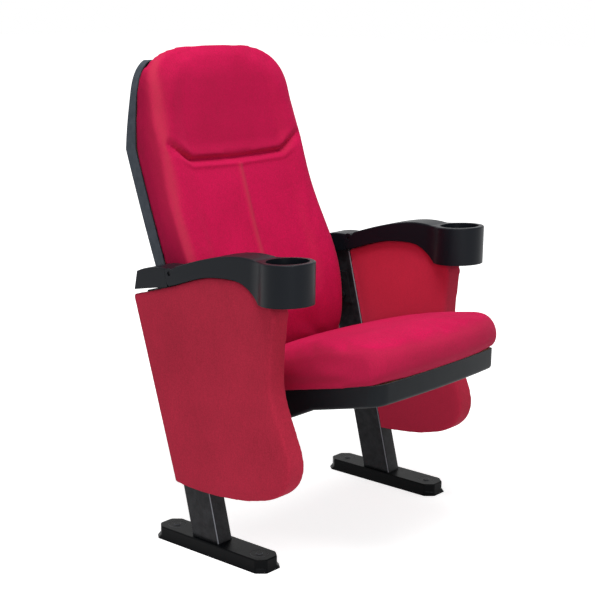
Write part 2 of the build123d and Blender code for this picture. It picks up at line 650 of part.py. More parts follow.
def turned_about_pivot(y, z, angle):
    """A place on the seat, in (Y, Z), after the seat tips up by an angle in degrees."""
    a = radians(angle)
    dy, dz = y - SEAT_PIVOT_Y, z - SEAT_PIVOT_Z
    return SEAT_PIVOT_Y + dy * cos(a) + dz * sin(a), SEAT_PIVOT_Z - dy * sin(a) + dz * cos(a)


def stop_plate():
    """Plate on the tube's end whose curved slot lets the seat tip between its two stops."""
    y, z = SEAT_PIVOT_Y, SEAT_PIVOT_Z
    slot_r = STOP_SLEEVE_R + FIT_GAP
    x_from, x_to = TUBE_END_X - STOP_PLATE_T, TUBE_END_X
    plate = x_rod(STOP_PLATE_R, y, z, x_from, x_to) - x_rod(TUBE_OUTER_R, y, z, x_from - 1, x_to + 1)
    start = STOP_ANGLE
    ring = Circle(STOP_RADIUS + slot_r) - Circle(STOP_RADIUS - slot_r)
    reach = 2 * STOP_PLATE_R
    spread = [(0, 0)] + [(reach * cos(radians(start + SEAT_TIP * k / 4)),
                          reach * sin(radians(start + SEAT_TIP * k / 4))) for k in range(5)]
    slot = ring & polygon(spread)
    for angle in (0, SEAT_TIP):
        end = radians(start + angle)
        slot += Pos(STOP_RADIUS * cos(end), STOP_RADIUS * sin(end)) * Circle(slot_r)
    return plate - side_slab(Pos(y, z) * slot, x_from - 1, x_to + 1)


def return_spring():
    """Torsion spring round the pivot pin, between the bush and the pivot plate."""
    radius = PIVOT_PIN_R + SPRING_WIRE / 2 + 2.5
    pitch = (SPRING_LENGTH - SPRING_WIRE) / SPRING_TURNS
    height = pitch * SPRING_TURNS
    coil = Helix(pitch=pitch, height=height, radius=radius)
    section = Plane(origin=coil @ 0, z_dir=coil % 0) * Circle(SPRING_WIRE / 2)
    wire = sweep(section, path=coil)
    x_from = TUBE_END_X + BUSH_FLANGE_T + SEAT_GAP + SPRING_WIRE / 2
    place = Plane(origin=(x_from, SEAT_PIVOT_Y, SEAT_PIVOT_Z), x_dir=(0, 0, 1), z_dir=(1, 0, 0))
    return place * wire


# ---------------------------------------------------------------- seat
def rim_height(y):
    """Height of the pan's rim plane at a Y."""
    return RIM_FRONT_Z - RIM_SLOPE * (y - PAN_FRONT)


def pan_corners(raise_rim):
    """Corner points of the pan's side view; its ends run past the plan, which cuts them."""
    front, rear = PAN_FRONT - PAN_OVERRUN, PAN_REAR + PAN_OVERRUN
    y, z = PAN_BELLY[0]
    slope = (z - RIM_FRONT_Z + PAN_FRONT_HEIGHT) / (y - PAN_FRONT)
    front_low = (front, z + slope * (front - y))
    rear_low = (rear, PAN_BELLY[-1][1] + PAN_REAR_RISE)
    return [(rear, rim_height(rear) + raise_rim), (front, rim_height(front) + raise_rim),
            front_low, *PAN_BELLY, rear_low]


def pan_profile():
    """The pan's side view: sloping front, kink, and round belly at the rear."""
    rear_top, front_top, front_low, *belly = pan_corners(0)
    edges = [
        Line(rear_top, front_top),
        Line(front_top, front_low),
        Line(front_low, belly[0]),
        Line(belly[0], belly[1]),
        Spline(*belly[1:]),
        Line(belly[-1], rear_top),
    ]
    return make_face(edges)


def pan_plan(wall):
    """The pan's top view: straight sides, rounded corners and a bowed front."""
    w = PAN_HALF_WIDTH - wall
    rear = PAN_REAR - wall
    front_mid = PAN_FRONT + wall
    front_end = PAN_FRONT + PAN_BOW + wall
    edges = [
        Line((w, rear), (w, front_end)),
        ThreePointArc((w, front_end), (0, front_mid), (-w, front_end)),
        Line((-w, front_end), (-w, rear)),
        Line((-w, rear), (w, rear)),
    ]
    face = make_face(edges)
    front_corners = face.vertices().sort_by(Axis.Y)[:2]
    face = fillet(front_corners, PAN_CORNER_R - wall)
    rear_corners = face.vertices().sort_by(Axis.Y)[-2:]
    return fillet(rear_corners, PAN_CORNER_R / 2 - wall)


def pan_hollow():
    """The room inside the pan, open upwards."""
    profile = inset(pan_corners(PAN_OVERRUN), PAN_WALL)
    return side_slab(profile, -PAN_HALF_WIDTH, PAN_HALF_WIDTH) & top_slab(pan_plan(PAN_WALL), 0, FAR)


def seat_pan():
    """Moulded tray under the seat, its rear belly round the hinge tube."""
    outside = side_slab(pan_profile(), -PAN_HALF_WIDTH, PAN_HALF_WIDTH) & top_slab(pan_plan(0), 0, FAR)
    outside = outside.solids()[0]
    low_edges = [e for e in outside.edges() if e.center().Z < rim_height(e.center().Y) - 12
                 and abs((e % 0.5).Z) < 0.9]
    outside = fillet_if_possible(outside, low_edges, PAN_EDGE_R)
    tube = x_rod(TUBE_OUTER_R + SEAT_GAP, SEAT_PIVOT_Y, SEAT_PIVOT_Z, -FAR, FAR)
    return outside - pan_hollow() - tube


def seat_board():
    """Plywood board that closes the pan and carries the cushion."""
    ends = [(PAN_FRONT - 10, rim_height(PAN_FRONT - 10)), (PAN_REAR + 10, rim_height(PAN_REAR + 10))]
    strip = polygon([ends[0], ends[1], (ends[1][0], ends[1][1] - SEAT_BOARD_T),
                     (ends[0][0], ends[0][1] - SEAT_BOARD_T)])
    plan = pan_plan(PAN_WALL + SEAT_GAP)
    return side_slab(strip, -FAR / 2, FAR / 2) & top_slab(plan, 0, FAR)


def seat_rail(x):
    """Steel bearer under the board, from the cross tube towards the front."""
    top = SEAT_BOARD_T
    y_front, y_rear = PAN_FRONT + RAIL_FRONT_SETBACK, SEAT_PIVOT_Y + RAIL_HEEL_BEHIND
    heel_z = SEAT_PIVOT_Z - RAIL_HEEL_DROP
    outline = polygon([(y_front, rim_height(y_front) - top), (y_rear, rim_height(y_rear) - top),
                       (y_rear, heel_z), (SEAT_PIVOT_Y - RAIL_HEEL_AHEAD, heel_z),
                       (y_front, rim_height(y_front) - top - RAIL_FRONT_HEIGHT)])
    rail = side_slab(outline, x - RAIL_T / 2, x + RAIL_T / 2)
    return rail - x_rod(TUBE_OUTER_R, SEAT_PIVOT_Y, SEAT_PIVOT_Z, -FAR, FAR)


def seat_section(x):
    """The seat cushion's side view at an X: flat under, round nose, gently crowned top."""
    u = abs(x) / SEAT_HALF_WIDTH
    into_side = max(0.0, (abs(x) - (SEAT_HALF_WIDTH - SEAT_SIDE_R)) / SEAT_SIDE_R)
    tuck = SEAT_SIDE_R * (1 - sqrt(1 - min(into_side, 1.0) ** 2))
    into_corner = max(0.0, (abs(x) - (SEAT_HALF_WIDTH - SEAT_CORNER_R)) / SEAT_CORNER_R)
    corner = SEAT_CORNER_DEPTH * (1 - sqrt(1 - min(into_corner, 1.0) ** 2))
    drop = SEAT_CROWN * u * u + tuck * 0.85
    front = SEAT_FRONT + SEAT_BOW * u * u + tuck * 0.6
    rear = SEAT_REAR - tuck * 0.3
    low_front = (front + SEAT_UNDERCUT, rim_height(front + SEAT_UNDERCUT))
    nose = (front + corner * 0.5, rim_height(front) + SEAT_NOSE_RISE - tuck * 0.1)
    top_front = (SEAT_TOP_FRONT[0] + SEAT_BOW * u * u * 0.5 + tuck * 0.6 + corner, SEAT_TOP_FRONT[1] - drop)
    top_rear = (SEAT_TOP_REAR[0] - tuck * 0.3, SEAT_TOP_REAR[1] - drop * 0.8)
    low_rear = (rear - 2, rim_height(rear - 2))
    top_mid = ((top_front[0] + top_rear[0]) / 2, (top_front[1] + top_rear[1]) / 2 + SEAT_TOP_BULGE)
    under_nose = ((nose[0] + low_front[0]) / 2 - 7, rim_height(front) + 8)
    over_nose = (nose[0] + 13 + corner * 0.2, nose[1] + 0.72 * (top_front[1] - nose[1]))
    behind = (rear, (top_rear[1] + low_rear[1]) / 2 + 3)
    edges = [
        Line(low_rear, low_front),
        ThreePointArc(low_front, under_nose, nose),
        ThreePointArc(nose, over_nose, top_front),
        ThreePointArc(top_front, top_mid, top_rear),
        ThreePointArc(top_rear, behind, low_rear),
    ]
    return Plane.YZ.offset(x) * make_face(edges)


def seat_cushion():
    """Plump pad with a rounded front, crowned from side to side."""
    xs = sorted({side * share * SEAT_HALF_WIDTH for share in SEAT_STATIONS for side in (-1, 1)})
    return loft([seat_section(x) for x in xs], ruled=True)


# ---------------------------------------------------------------- back
def back_plane_y(z):
    """Y of the plane where the back's cushion and shell meet, at a height."""
    return interpolate(BACK_PLANE, z)


def back_section(z, half_width, bolster, hollow):
    """The back cushion's plan at a height: flat behind, round sides, hollow between bolsters."""
    rear = back_plane_y(z) + CUT_ALLOWANCE
    depth = rear - bolster
    r = min(BACK_SIDE_R, depth * 0.6)
    w = half_width
    edge = HOLLOW_SHARE * w

    def right_to_left(points):
        return [(-x, y) for x, y in points]

    a, s = (w - 5, rear), (w, rear - 0.45 * depth)
    c, f, d = (w - 0.25 * r, bolster + 0.38 * r), (w - 0.68 * r, bolster + 0.06 * r), (w - 1.5 * r, bolster)
    e = (edge, bolster + 0.8 * hollow)
    g = ((d[0] + e[0]) / 2, (d[1] + e[1]) / 2 - 0.05 * hollow)
    ma, ms, mc, mf, md, me, mg = right_to_left([a, s, c, f, d, e, g])
    edges = [
        Line(ma, a),
        ThreePointArc(a, s, c),
        ThreePointArc(c, f, d),
        ThreePointArc(d, g, e),
        ThreePointArc(e, (0, bolster + hollow), me),
        ThreePointArc(me, mg, md),
        ThreePointArc(md, mf, mc),
        ThreePointArc(mc, ms, ma),
    ]
    return Plane.XY.offset(z) * make_face(edges)


def back_front_y(x, z):
    """Y of the back cushion's front at a place, as the stations give it."""
    bolster = interpolate(BACK_STATIONS, z, 2)
    hollow = interpolate(BACK_STATIONS, z, 3)
    edge = HOLLOW_SHARE * interpolate(BACK_STATIONS, z, 1)
    crest = interpolate(BACK_STATIONS, z, 1) - 1.5 * BACK_SIDE_R
    if abs(x) <= edge:
        return bolster + hollow * (1 - 0.2 * (x / edge) ** 2)
    share = min(1.0, (abs(x) - edge) / (crest - edge))
    return bolster + 0.8 * hollow * (1 - share)


def groove():
    """Cutter for the sewn groove under the headrest, laid along the cushion's front."""
    route = [(HALF - room, back_front_y(HALF - room, z), z) for room, z in GROOVE_ROUTE]
    centre = (0, back_front_y(0, GROOVE_CENTRE_Z), GROOVE_CENTRE_Z)
    left = [(-x, y, z) for x, y, z in route]
    parts = [(left[0], left[1]), (left[1], centre), (centre, route[1]), (route[1], route[0])]
    cutter = Pos(*centre) * Sphere(GROOVE_R)
    for start, end in parts:
        run = Line(start, end)
        cutter += extrude(Plane(origin=start, z_dir=run % 0) * Circle(GROOVE_R), amount=run.length)
    for point in (*route, *left):
        cutter += Pos(*point) * Sphere(GROOVE_R)
    return cutter


def back_cushion():
    """Upholstered pad of the back, with side bolsters, headrest and groove."""
    pad = loft([back_section(*station) for station in BACK_STATIONS])
    return (pad & ahead_of_back()) - groove()


def back_strip(front_gap, depth, top_depth, foot_z, top_z):
    """A side view that follows the back's plane, between two gaps behind it."""
    rows = [(z, y) for z, y in BACK_PLANE if foot_z < z < top_z]
    rows = [(foot_z, back_plane_y(foot_z)), *rows, (top_z, back_plane_y(top_z))]
    kink = BACK_PLANE[2][0]
    front = [(y + front_gap, z) for z, y in rows]
    rear = [(y + (depth if z <= kink else top_depth), z) for z, y in rows]
    return polygon(front + rear[::-1])


def back_outline(inset, foot_z, top_z):
    """The back's front view, from the cushion's stations, as (X, Z)."""
    rows = [(z, w) for z, w, _, _ in BACK_STATIONS if foot_z < z < top_z]
    foot_w = interpolate(BACK_STATIONS, foot_z)
    top_w = interpolate(BACK_STATIONS, top_z)
    right = [(foot_w - inset, foot_z), *[(w - inset, z) for z, w in rows], (top_w - inset, top_z)]
    left = [(-x, z) for x, z in right]
    edges = [Spline(*right), Line(right[-1], left[-1]), Spline(*reversed(left)), Line(left[0], right[0])]
    return make_face(edges)


def shell_form(inset):
    """The back shell's outside, or its inside when an inset is given."""
    foot, top = SHELL_FOOT_Z + inset, SHELL_TOP_Z - inset
    strip = back_strip(-inset * 4, SHELL_DEPTH - inset, SHELL_TOP_DEPTH - inset, foot, top)
    return side_slab(strip, -FAR / 2, FAR / 2) & front_slab(back_outline(inset, foot, top), 0, FAR / 2)


def back_shell():
    """Thin moulded shell behind the back, open to the front, notched for its brackets."""
    outside = shell_form(0).solids()[0]
    body = outside - shell_form(SHELL_WALL)
    notch = bracket_leg_box(FIT_GAP)
    body -= both_sides(notch)
    body -= ahead_of_back()
    return body


def ahead_of_back():
    """All that lies ahead of the back's plane."""
    rows = [(y, z) for z, y in BACK_PLANE]
    low, high = rows[0][1] - CUTTER_OVERRUN, rows[-1][1] + CUTTER_OVERRUN
    return side_slab(polygon([(-FAR, low), (rows[0][0], low), *rows, (rows[-1][0], high), (-FAR, high)]),
                     -FAR / 2, FAR / 2)


def back_board():
    """Bent plywood board in the mouth of the shell, which carries the cushion."""
    foot, top = SHELL_FOOT_Z + BACK_BOARD_MARGIN, SHELL_TOP_Z - BACK_BOARD_MARGIN
    strip = back_strip(0, BACK_BOARD_T, BACK_BOARD_T, foot, top)
    outline = back_outline(BACK_BOARD_MARGIN, foot, top)
    return side_slab(strip, -FAR / 2, FAR / 2) & front_slab(outline, 0, FAR / 2)


def bracket_bolt_heights():
    """Heights of the two bolts that hold a back bracket to its column."""
    return (BRACKET_FOOT_Z + BRACKET_BOLT_INSET, BRACKET_TOP_Z - BRACKET_BOLT_INSET)


def bracket_leg_profile(gap):
    """Side view of the bracket's inner leg, flat on the rear of the back board."""
    rear = BACK_BOARD_T + BRACKET_T + gap
    return back_strip(BACK_BOARD_T - gap, rear, rear, BRACKET_FOOT_Z - gap, BRACKET_TOP_Z + gap)


def bracket_leg_box(gap):
    """The left bracket's inner leg, grown by a gap."""
    x_from = interpolate(BACK_STATIONS, BRACKET_TOP_Z) - BRACKET_REACH
    return side_slab(bracket_leg_profile(gap), x_from - gap, COLUMN_INNER_X)


def back_bracket():
    """Bent steel bracket: one leg on the column's inner face, one behind the back board."""
    low, high = BRACKET_FOOT_Z, BRACKET_TOP_Z
    rear = BACK_BOARD_T + BRACKET_T
    flange = back_strip(0, rear, rear, low, high)
    flange += polygon([(column_centre_y(low) - BRACKET_AHEAD, low), (back_plane_y(low) + rear, low),
                       (back_plane_y(high) + rear, high), (column_centre_y(high) - BRACKET_AHEAD, high)])
    bracket = side_slab(flange, COLUMN_INNER_X - BRACKET_T, COLUMN_INNER_X) + bracket_leg_box(0)
    for z in bracket_bolt_heights():
        bracket -= x_rod(BRACKET_BOLT_R + SEAT_GAP, column_centre_y(z), z, PIVOT_PLATE_X - 1, HALF)
    return bracket


# ---------------------------------------------------------------- fasteners
def backing_screws():
    """Screws through the left panel's backing into its column."""
    face = COLUMN_OUTER_X + BACKING_T
    screws = []
    for y, z in backing_screw_places():
        screw = x_rod(SCREW_R, y, z, COLUMN_OUTER_X - COLUMN_WALL - 3, face)
        screws.append(screw + x_rod(SCREW_HEAD_R, y, z, face, face + SCREW_HEAD_T - 1))
    return Compound(children=screws)


def hex_bolt(y, z, x_head, x_end):
    """Bolt along X, with its hexagon head on the seat's side of x_head."""
    head = side_slab(Pos(y, z) * RegularPolygon(BOLT_HEAD_R, 6), x_head - BOLT_HEAD_T, x_head)
    return head + x_rod(BOLT_R, y, z, x_head, x_end)


def pivot_bolts():
    """Bolts that hold the left pivot plate to its column."""
    inside = COLUMN_INNER_X + COLUMN_WALL + BOLT_PROUD
    bolts = [hex_bolt(column_centre_y(z), z, PIVOT_PLATE_X, inside) for z in PIVOT_BOLT_HEIGHTS]
    return Compound(children=bolts)


def bracket_bolts():
    """Bolts that hold the left back bracket to its column."""
    inside = COLUMN_INNER_X + COLUMN_WALL + BOLT_PROUD
    heads = COLUMN_INNER_X - BRACKET_T
    bolts = [hex_bolt(column_centre_y(z), z, heads, inside) for z in bracket_bolt_heights()]
    return Compound(children=bolts)


# ---------------------------------------------------------------- build
def nodes():
    """Every node of the seat by name, left and right pieces made from one function."""
    mirrored = {
        "foot_plate": foot_plate(), "foot_cover": foot_cover(), "leg_column": leg_column(),
        "column_cap": column_cap(), "arm_block": arm_block(), "panel_backing": panel_backing(),
        "panel_pad": panel_pad(), "pivot_plate": pivot_plate(), "pivot_pin": pivot_pin(),
        "stop_pin": stop_pin(), "stop_sleeve": stop_sleeve(), "back_bracket": back_bracket(),
        "arm": arm(), "arm_pin": arm_pin(), "stop_plate": stop_plate(), "return_spring": return_spring(),
    }
    made = {}
    for name, solid in mirrored.items():
        made[f"left_{name}"] = solid
        made[f"right_{name}"] = other_side(solid)
    plugs = Compound(children=[foot_plug(x, y) for x, y in bolt_places()])
    made["foot_plugs"] = both_sides(plugs)
    made["pivot_plate_bolts"] = both_sides(pivot_bolts())
    made["back_bracket_bolts"] = both_sides(bracket_bolts())
    made["panel_backing_screws"] = both_sides(backing_screws())
    made["hinge_bushes"] = both_sides(hinge_bush())
    made["cross_tube"] = cross_tube()
    made["seat_rails"] = both_sides(seat_rail(PAN_HALF_WIDTH * RAIL_SHARE))
    made["seat_board"] = seat_board()
    made["seat_pan"] = seat_pan()
    made["seat_cushion"] = seat_cushion()
    made["back_board"] = back_board()
    made["back_shell"] = back_shell()
    made["back_cushion"] = back_cushion()
    return made


def main():
    """Build every node and write one STEP file for each."""
    os.makedirs("parts", exist_ok=True)
    for name, shape in nodes().items():
        shape.label = name
        export_step(shape, f"parts/{name}.step")


main()
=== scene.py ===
"""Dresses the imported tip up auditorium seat: upholstery, mouldings, steel, studio and camera.

Every length is in metres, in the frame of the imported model: the floor is z = 0, the sitter faces -y
and the sitter's left is +x.
"""

import logging
import math
from dataclasses import dataclass
from enum import Enum
from typing import Callable, Iterable, Sequence

import bmesh
import bpy
import numpy as np
from bmesh.types import BMesh
from bpy.types import Material, Mesh, Node, NodeSocket, NodeTree, Object
from mathutils import Matrix, Vector


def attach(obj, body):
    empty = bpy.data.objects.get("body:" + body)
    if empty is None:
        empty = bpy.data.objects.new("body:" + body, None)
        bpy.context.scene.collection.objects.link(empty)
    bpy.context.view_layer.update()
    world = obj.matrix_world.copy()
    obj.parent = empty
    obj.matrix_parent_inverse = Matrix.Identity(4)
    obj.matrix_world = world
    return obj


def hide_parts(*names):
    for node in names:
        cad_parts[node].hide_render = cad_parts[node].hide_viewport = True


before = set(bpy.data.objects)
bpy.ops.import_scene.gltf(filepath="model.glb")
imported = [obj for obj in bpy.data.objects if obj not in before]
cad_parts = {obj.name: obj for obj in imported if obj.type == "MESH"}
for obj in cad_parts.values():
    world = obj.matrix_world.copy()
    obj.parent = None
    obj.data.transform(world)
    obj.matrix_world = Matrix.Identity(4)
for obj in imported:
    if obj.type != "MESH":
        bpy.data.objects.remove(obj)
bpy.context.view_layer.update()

log = logging.getLogger("auditorium_seat")

# Values between which most of a noise lies, and the middle part of them.
NOISE = (0.3, 0.7)
MID_NOISE = (0.35, 0.65)

Colour = tuple[float, float, float]
Paint = tuple[float, float, float, float]
Point = tuple[float, float, float]
Pair = tuple[float, float]
# Where a rise or a hump lies, and how long or wide it is.
Run = tuple[float, float]


class Body(Enum):
    """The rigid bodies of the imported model."""

    FRAME = "side_frames_and_back"
    SEAT = "tip_up_seat"
    LEFT_ARM = "left_armrest"
    RIGHT_ARM = "right_armrest"


class Slot(Enum):
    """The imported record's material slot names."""

    UPHOLSTERY = "red_upholstery"
    STEEL = "black_coated_steel"
    MOULDING = "black_moulding"


def srgb(*channels: int) -> Colour:
    """Turn a screen colour of 0 to 255 into the linear colour that a shader takes.

    Args:
        *channels: Red, green and blue.

    Returns:
        The linear colour.
    """
    shares = [channel / 255.0 for channel in channels]
    return tuple(c / 12.92 if c <= 0.04045 else ((c + 0.055) / 1.055) ** 2.4 for c in shares)


def opaque(colour: Colour, share: float = 1.0) -> Paint:
    """Give a colour, or a share of it, as a socket takes it."""
    return colour[0] * share, colour[1] * share, colour[2] * share, 1.0


# Node graphs.


class Graph:
    """A thin, chainable wrapper round one node tree."""

    def __init__(self, tree: NodeTree) -> None:
        """Take over a tree and empty it."""
        self.tree = tree
        self.tree.nodes.clear()

    def add(self, kind: str, **settings: object) -> Node:
        """Add a node and set its properties.

        Args:
            kind: Node type, without its ShaderNode prefix.
            **settings: Properties of the node.

        Returns:
            The new node.
        """
        name = kind if kind.startswith("Node") else "ShaderNode" + kind
        node = self.tree.nodes.new(name)
        for key, value in settings.items():
            setattr(node, key, value)
        return node

    def feed(self, target: NodeSocket, source: object) -> None:
        """Link a socket to another, or give it a plain value.

        Args:
            target: Socket to fill.
            source: Socket or value that fills it.
        """
        if isinstance(source, NodeSocket):
            self.tree.links.new(source, target)
        else:
            target.default_value = source

    def operate(self, kind: str, operation: str, values: Iterable[object]) -> Node:
        """Add a node that works something out.

        Args:
            kind: Node type, without its ShaderNode prefix.
            operation: What it works out.
            values: Sockets or values that it takes.

        Returns:
            The node.
        """
        node = self.add(kind, operation=operation)
        for socket, value in zip(node.inputs, values):
            self.feed(socket, value)
        return node

    def math(self, operation: str, *values: object) -> NodeSocket:
        """Add a Math node and return its result."""
        return self.operate("Math", operation, values).outputs[0]

    def vector(self, operation: str, *values: object) -> Node:
        """Add a Vector Math node and return it."""
        return self.operate("VectorMath", operation, values)

    def fill(self, node: Node, **values: object) -> None:
        """Feed a node's named inputs.

        Args:
            node: The node.
            **values: What each input takes, by its name with underscores for spaces.
        """
        for name, value in values.items():
            self.feed(node.inputs[name.replace("_", " ")], value)

    def kept(self, layer: str) -> NodeSocket:
        """Read a value that a mesh keeps per point; 0 where it keeps none."""
        return self.add("Attribute", attribute_name=layer).outputs["Fac"]

    def noise(self, place: object, scale: object, detail: float = 2.0, rough: float = 0.5) -> NodeSocket:
        """Add a Noise Texture.

        Args:
            place: Coordinates.
            scale: Size of the pattern.
            detail: Number of finer layers.
            rough: Strength of the finer layers.

        Returns:
            Its value.
        """
        node = self.add("TexNoise")
        self.fill(node, Vector=place, Scale=scale, Detail=detail, Roughness=rough)
        return node.outputs["Fac"]

    def remap(self, value: object, low: object, high: object, to_low: object, to_high: object) -> NodeSocket:
        """Add a clamped Map Range.

        Args:
            value: What is mapped.
            low: Value that gives to_low.
            high: Value that gives to_high.
            to_low: Result at the low end.
            to_high: Result at the high end.

        Returns:
            Its result.
        """
        node = self.add("MapRange")
        self.fill(node, Value=value, From_Min=low, From_Max=high, To_Min=to_low, To_Max=to_high)
        return node.outputs["Result"]

    def blend(self, factor: object, first: object, second: object) -> NodeSocket:
        """Add a colour Mix.

        Args:
            factor: Share of the second colour.
            first: First colour.
            second: Second colour.

        Returns:
            Its result.
        """
        node = self.add("Mix", data_type="RGBA")
        for index, part in ((0, factor), (6, first), (7, second)):
            self.feed(node.inputs[index], part)
        return node.outputs[2]

    def group(self, tree: NodeTree, **values: object) -> Node:
        """Place a node group.

        Args:
            tree: The group.
            **values: What its named inputs take.

        Returns:
            The placed node.
        """
        node = self.add("Group", node_tree=tree)
        self.fill(node, **values)
        return node

    def bump(self, shader: Node, height: NodeSocket, strength: float, depth: float) -> None:
        """Drive a shader's normal from a height.

        Args:
            shader: The shader to bump.
            height: Height between 0 and 1.
            strength: Strength of the bump.
            depth: Height of a full step, in metres.
        """
        node = self.add("Bump")
        self.fill(node, Strength=strength, Distance=depth, Height=height)
        self.feed(shader.inputs["Normal"], node.outputs[0])


def node_group(name: str, inputs: dict[str, float | None], *outputs: str) -> tuple[NodeTree, Graph, Node, Node]:
    """Make an empty shader node group with named sockets.

    Args:
        name: Name of the group.
        inputs: Name of each input to its default, or to None for a vector.
        *outputs: Names of its outputs.

    Returns:
        The tree, its graph, its input node and its output node.
    """
    tree = bpy.data.node_groups.new(name, "ShaderNodeTree")
    for label, default in inputs.items():
        kind = "NodeSocketVector" if default is None else "NodeSocketFloat"
        socket = tree.interface.new_socket(label, in_out="INPUT", socket_type=kind)
        if default is not None:
            socket.default_value = default
    for label in outputs:
        tree.interface.new_socket(label, in_out="OUTPUT", socket_type="NodeSocketFloat")
    graph = Graph(tree)
    return tree, graph, graph.add("NodeGroupInput"), graph.add("NodeGroupOutput")


class PatternKit:
    """The node groups that the finishes share, each built once."""

    def __init__(self) -> None:
        """Build all groups."""
        self.weave = self._weave()
        self.blotch = self._blotch()
        self.grain = self._grain()
        self.edge_tint = self._rubbed()

    def _weave(self) -> NodeTree:
        """Build plain woven cloth from three sides, mixed by the way the surface faces.

        Returns:
            The node group.
        """
        tree, g, given, result = node_group(
            "woven_cloth", {"Place": None, "Facing": None, "Thread": 0.0011}, "Height", "Slub")
        rate = g.math("DIVIDE", math.pi, given.outputs["Thread"])
        wobble = g.add("TexNoise")
        g.fill(wobble, Vector=given.outputs["Place"], Scale=55.0, Detail=1.0)
        drift = g.vector("SCALE", wobble.outputs["Color"])
        g.fill(drift, Scale=0.0016)
        bent = g.vector("ADD", given.outputs["Place"], drift.outputs[0]).outputs[0]
        rates = g.add("CombineXYZ")
        g.fill(rates, X=rate, Y=rate, Z=rate)
        waves = g.add("SeparateXYZ")
        g.feed(waves.inputs[0], g.vector("MULTIPLY", bent, rates.outputs[0]).outputs[0])
        sines = [g.math("SINE", axis) for axis in waves.outputs]
        facing = g.add("SeparateXYZ")
        g.feed(facing.inputs[0], given.outputs["Facing"])
        weights = [g.math("POWER", g.math("ABSOLUTE", axis), 4.0) for axis in facing.outputs]
        pairs = ((1, 2), (0, 2), (0, 1))
        total, height = None, None
        for weight, (a, b) in zip(weights, pairs):
            part = g.math("MULTIPLY", g.math("MULTIPLY", sines[a], sines[b]), weight)
            height = part if height is None else g.math("ADD", height, part)
            total = weight if total is None else g.math("ADD", total, weight)
        woven = g.math("DIVIDE", height, g.math("MAXIMUM", total, 0.001))
        fuzz = g.math("SUBTRACT", g.noise(given.outputs["Place"], 1500.0, 2.0, 0.6), 0.5)
        threads = g.math("MULTIPLY_ADD", woven, 0.35, 0.5)
        slub = g.noise(g.vector("MULTIPLY", bent, (220.0, 220.0, 60.0)).outputs[0], 1.0, 3.0, 0.6)
        g.fill(result, Height=g.math("ADD", threads, g.math("MULTIPLY", fuzz, 0.6)), Slub=slub)
        return tree

    def _blotch(self) -> NodeTree:
        """Build the slow, soft variation of tone over a surface.

        Returns:
            The node group.
        """
        tree, g, given, result = node_group(
            "tone_drift", {"Place": None, "Scale": 6.0, "Low": 0.9, "High": 1.08}, "Tone")
        slow = g.noise(given.outputs["Place"], given.outputs["Scale"], 4.0, 0.55)
        g.fill(result, Tone=g.remap(slow, *NOISE, given.outputs["Low"], given.outputs["High"]))
        return tree

    def _grain(self) -> NodeTree:
        """Build the fine grain of a moulding, which is also the orange peel of a powder coat.

        Returns:
            The node group.
        """
        tree, g, given, result = node_group("surface_grain", {"Place": None, "Scale": 900.0}, "Height")
        cells = g.add("TexVoronoi", feature="SMOOTH_F1")
        g.fill(cells, Vector=given.outputs["Place"], Scale=given.outputs["Scale"], Smoothness=0.6)
        fine = g.noise(given.outputs["Place"], g.math("MULTIPLY", given.outputs["Scale"], 1.7), 2.0, 0.5)
        g.fill(result, Height=g.math("ADD", cells.outputs["Distance"], g.math("MULTIPLY", fine, 0.5)))
        return tree

    def _rubbed(self) -> NodeTree:
        """Build the mask of the edges and corners that hands and shoes rub.

        Returns:
            The node group.
        """
        tree, g, given, result = node_group("rubbed_edges", {"Place": None, "Low": 0.515, "High": 0.56}, "Mask")
        shape = g.add("NewGeometry")
        edge = g.remap(shape.outputs["Pointiness"], given.outputs["Low"], given.outputs["High"], 0.0, 1.0)
        broken = g.remap(g.noise(given.outputs["Place"], 60.0, 5.0, 0.65), *MID_NOISE, 0.35, 1.0)
        g.fill(result, Mask=g.math("MULTIPLY", edge, broken))
        return tree


# Finishes.


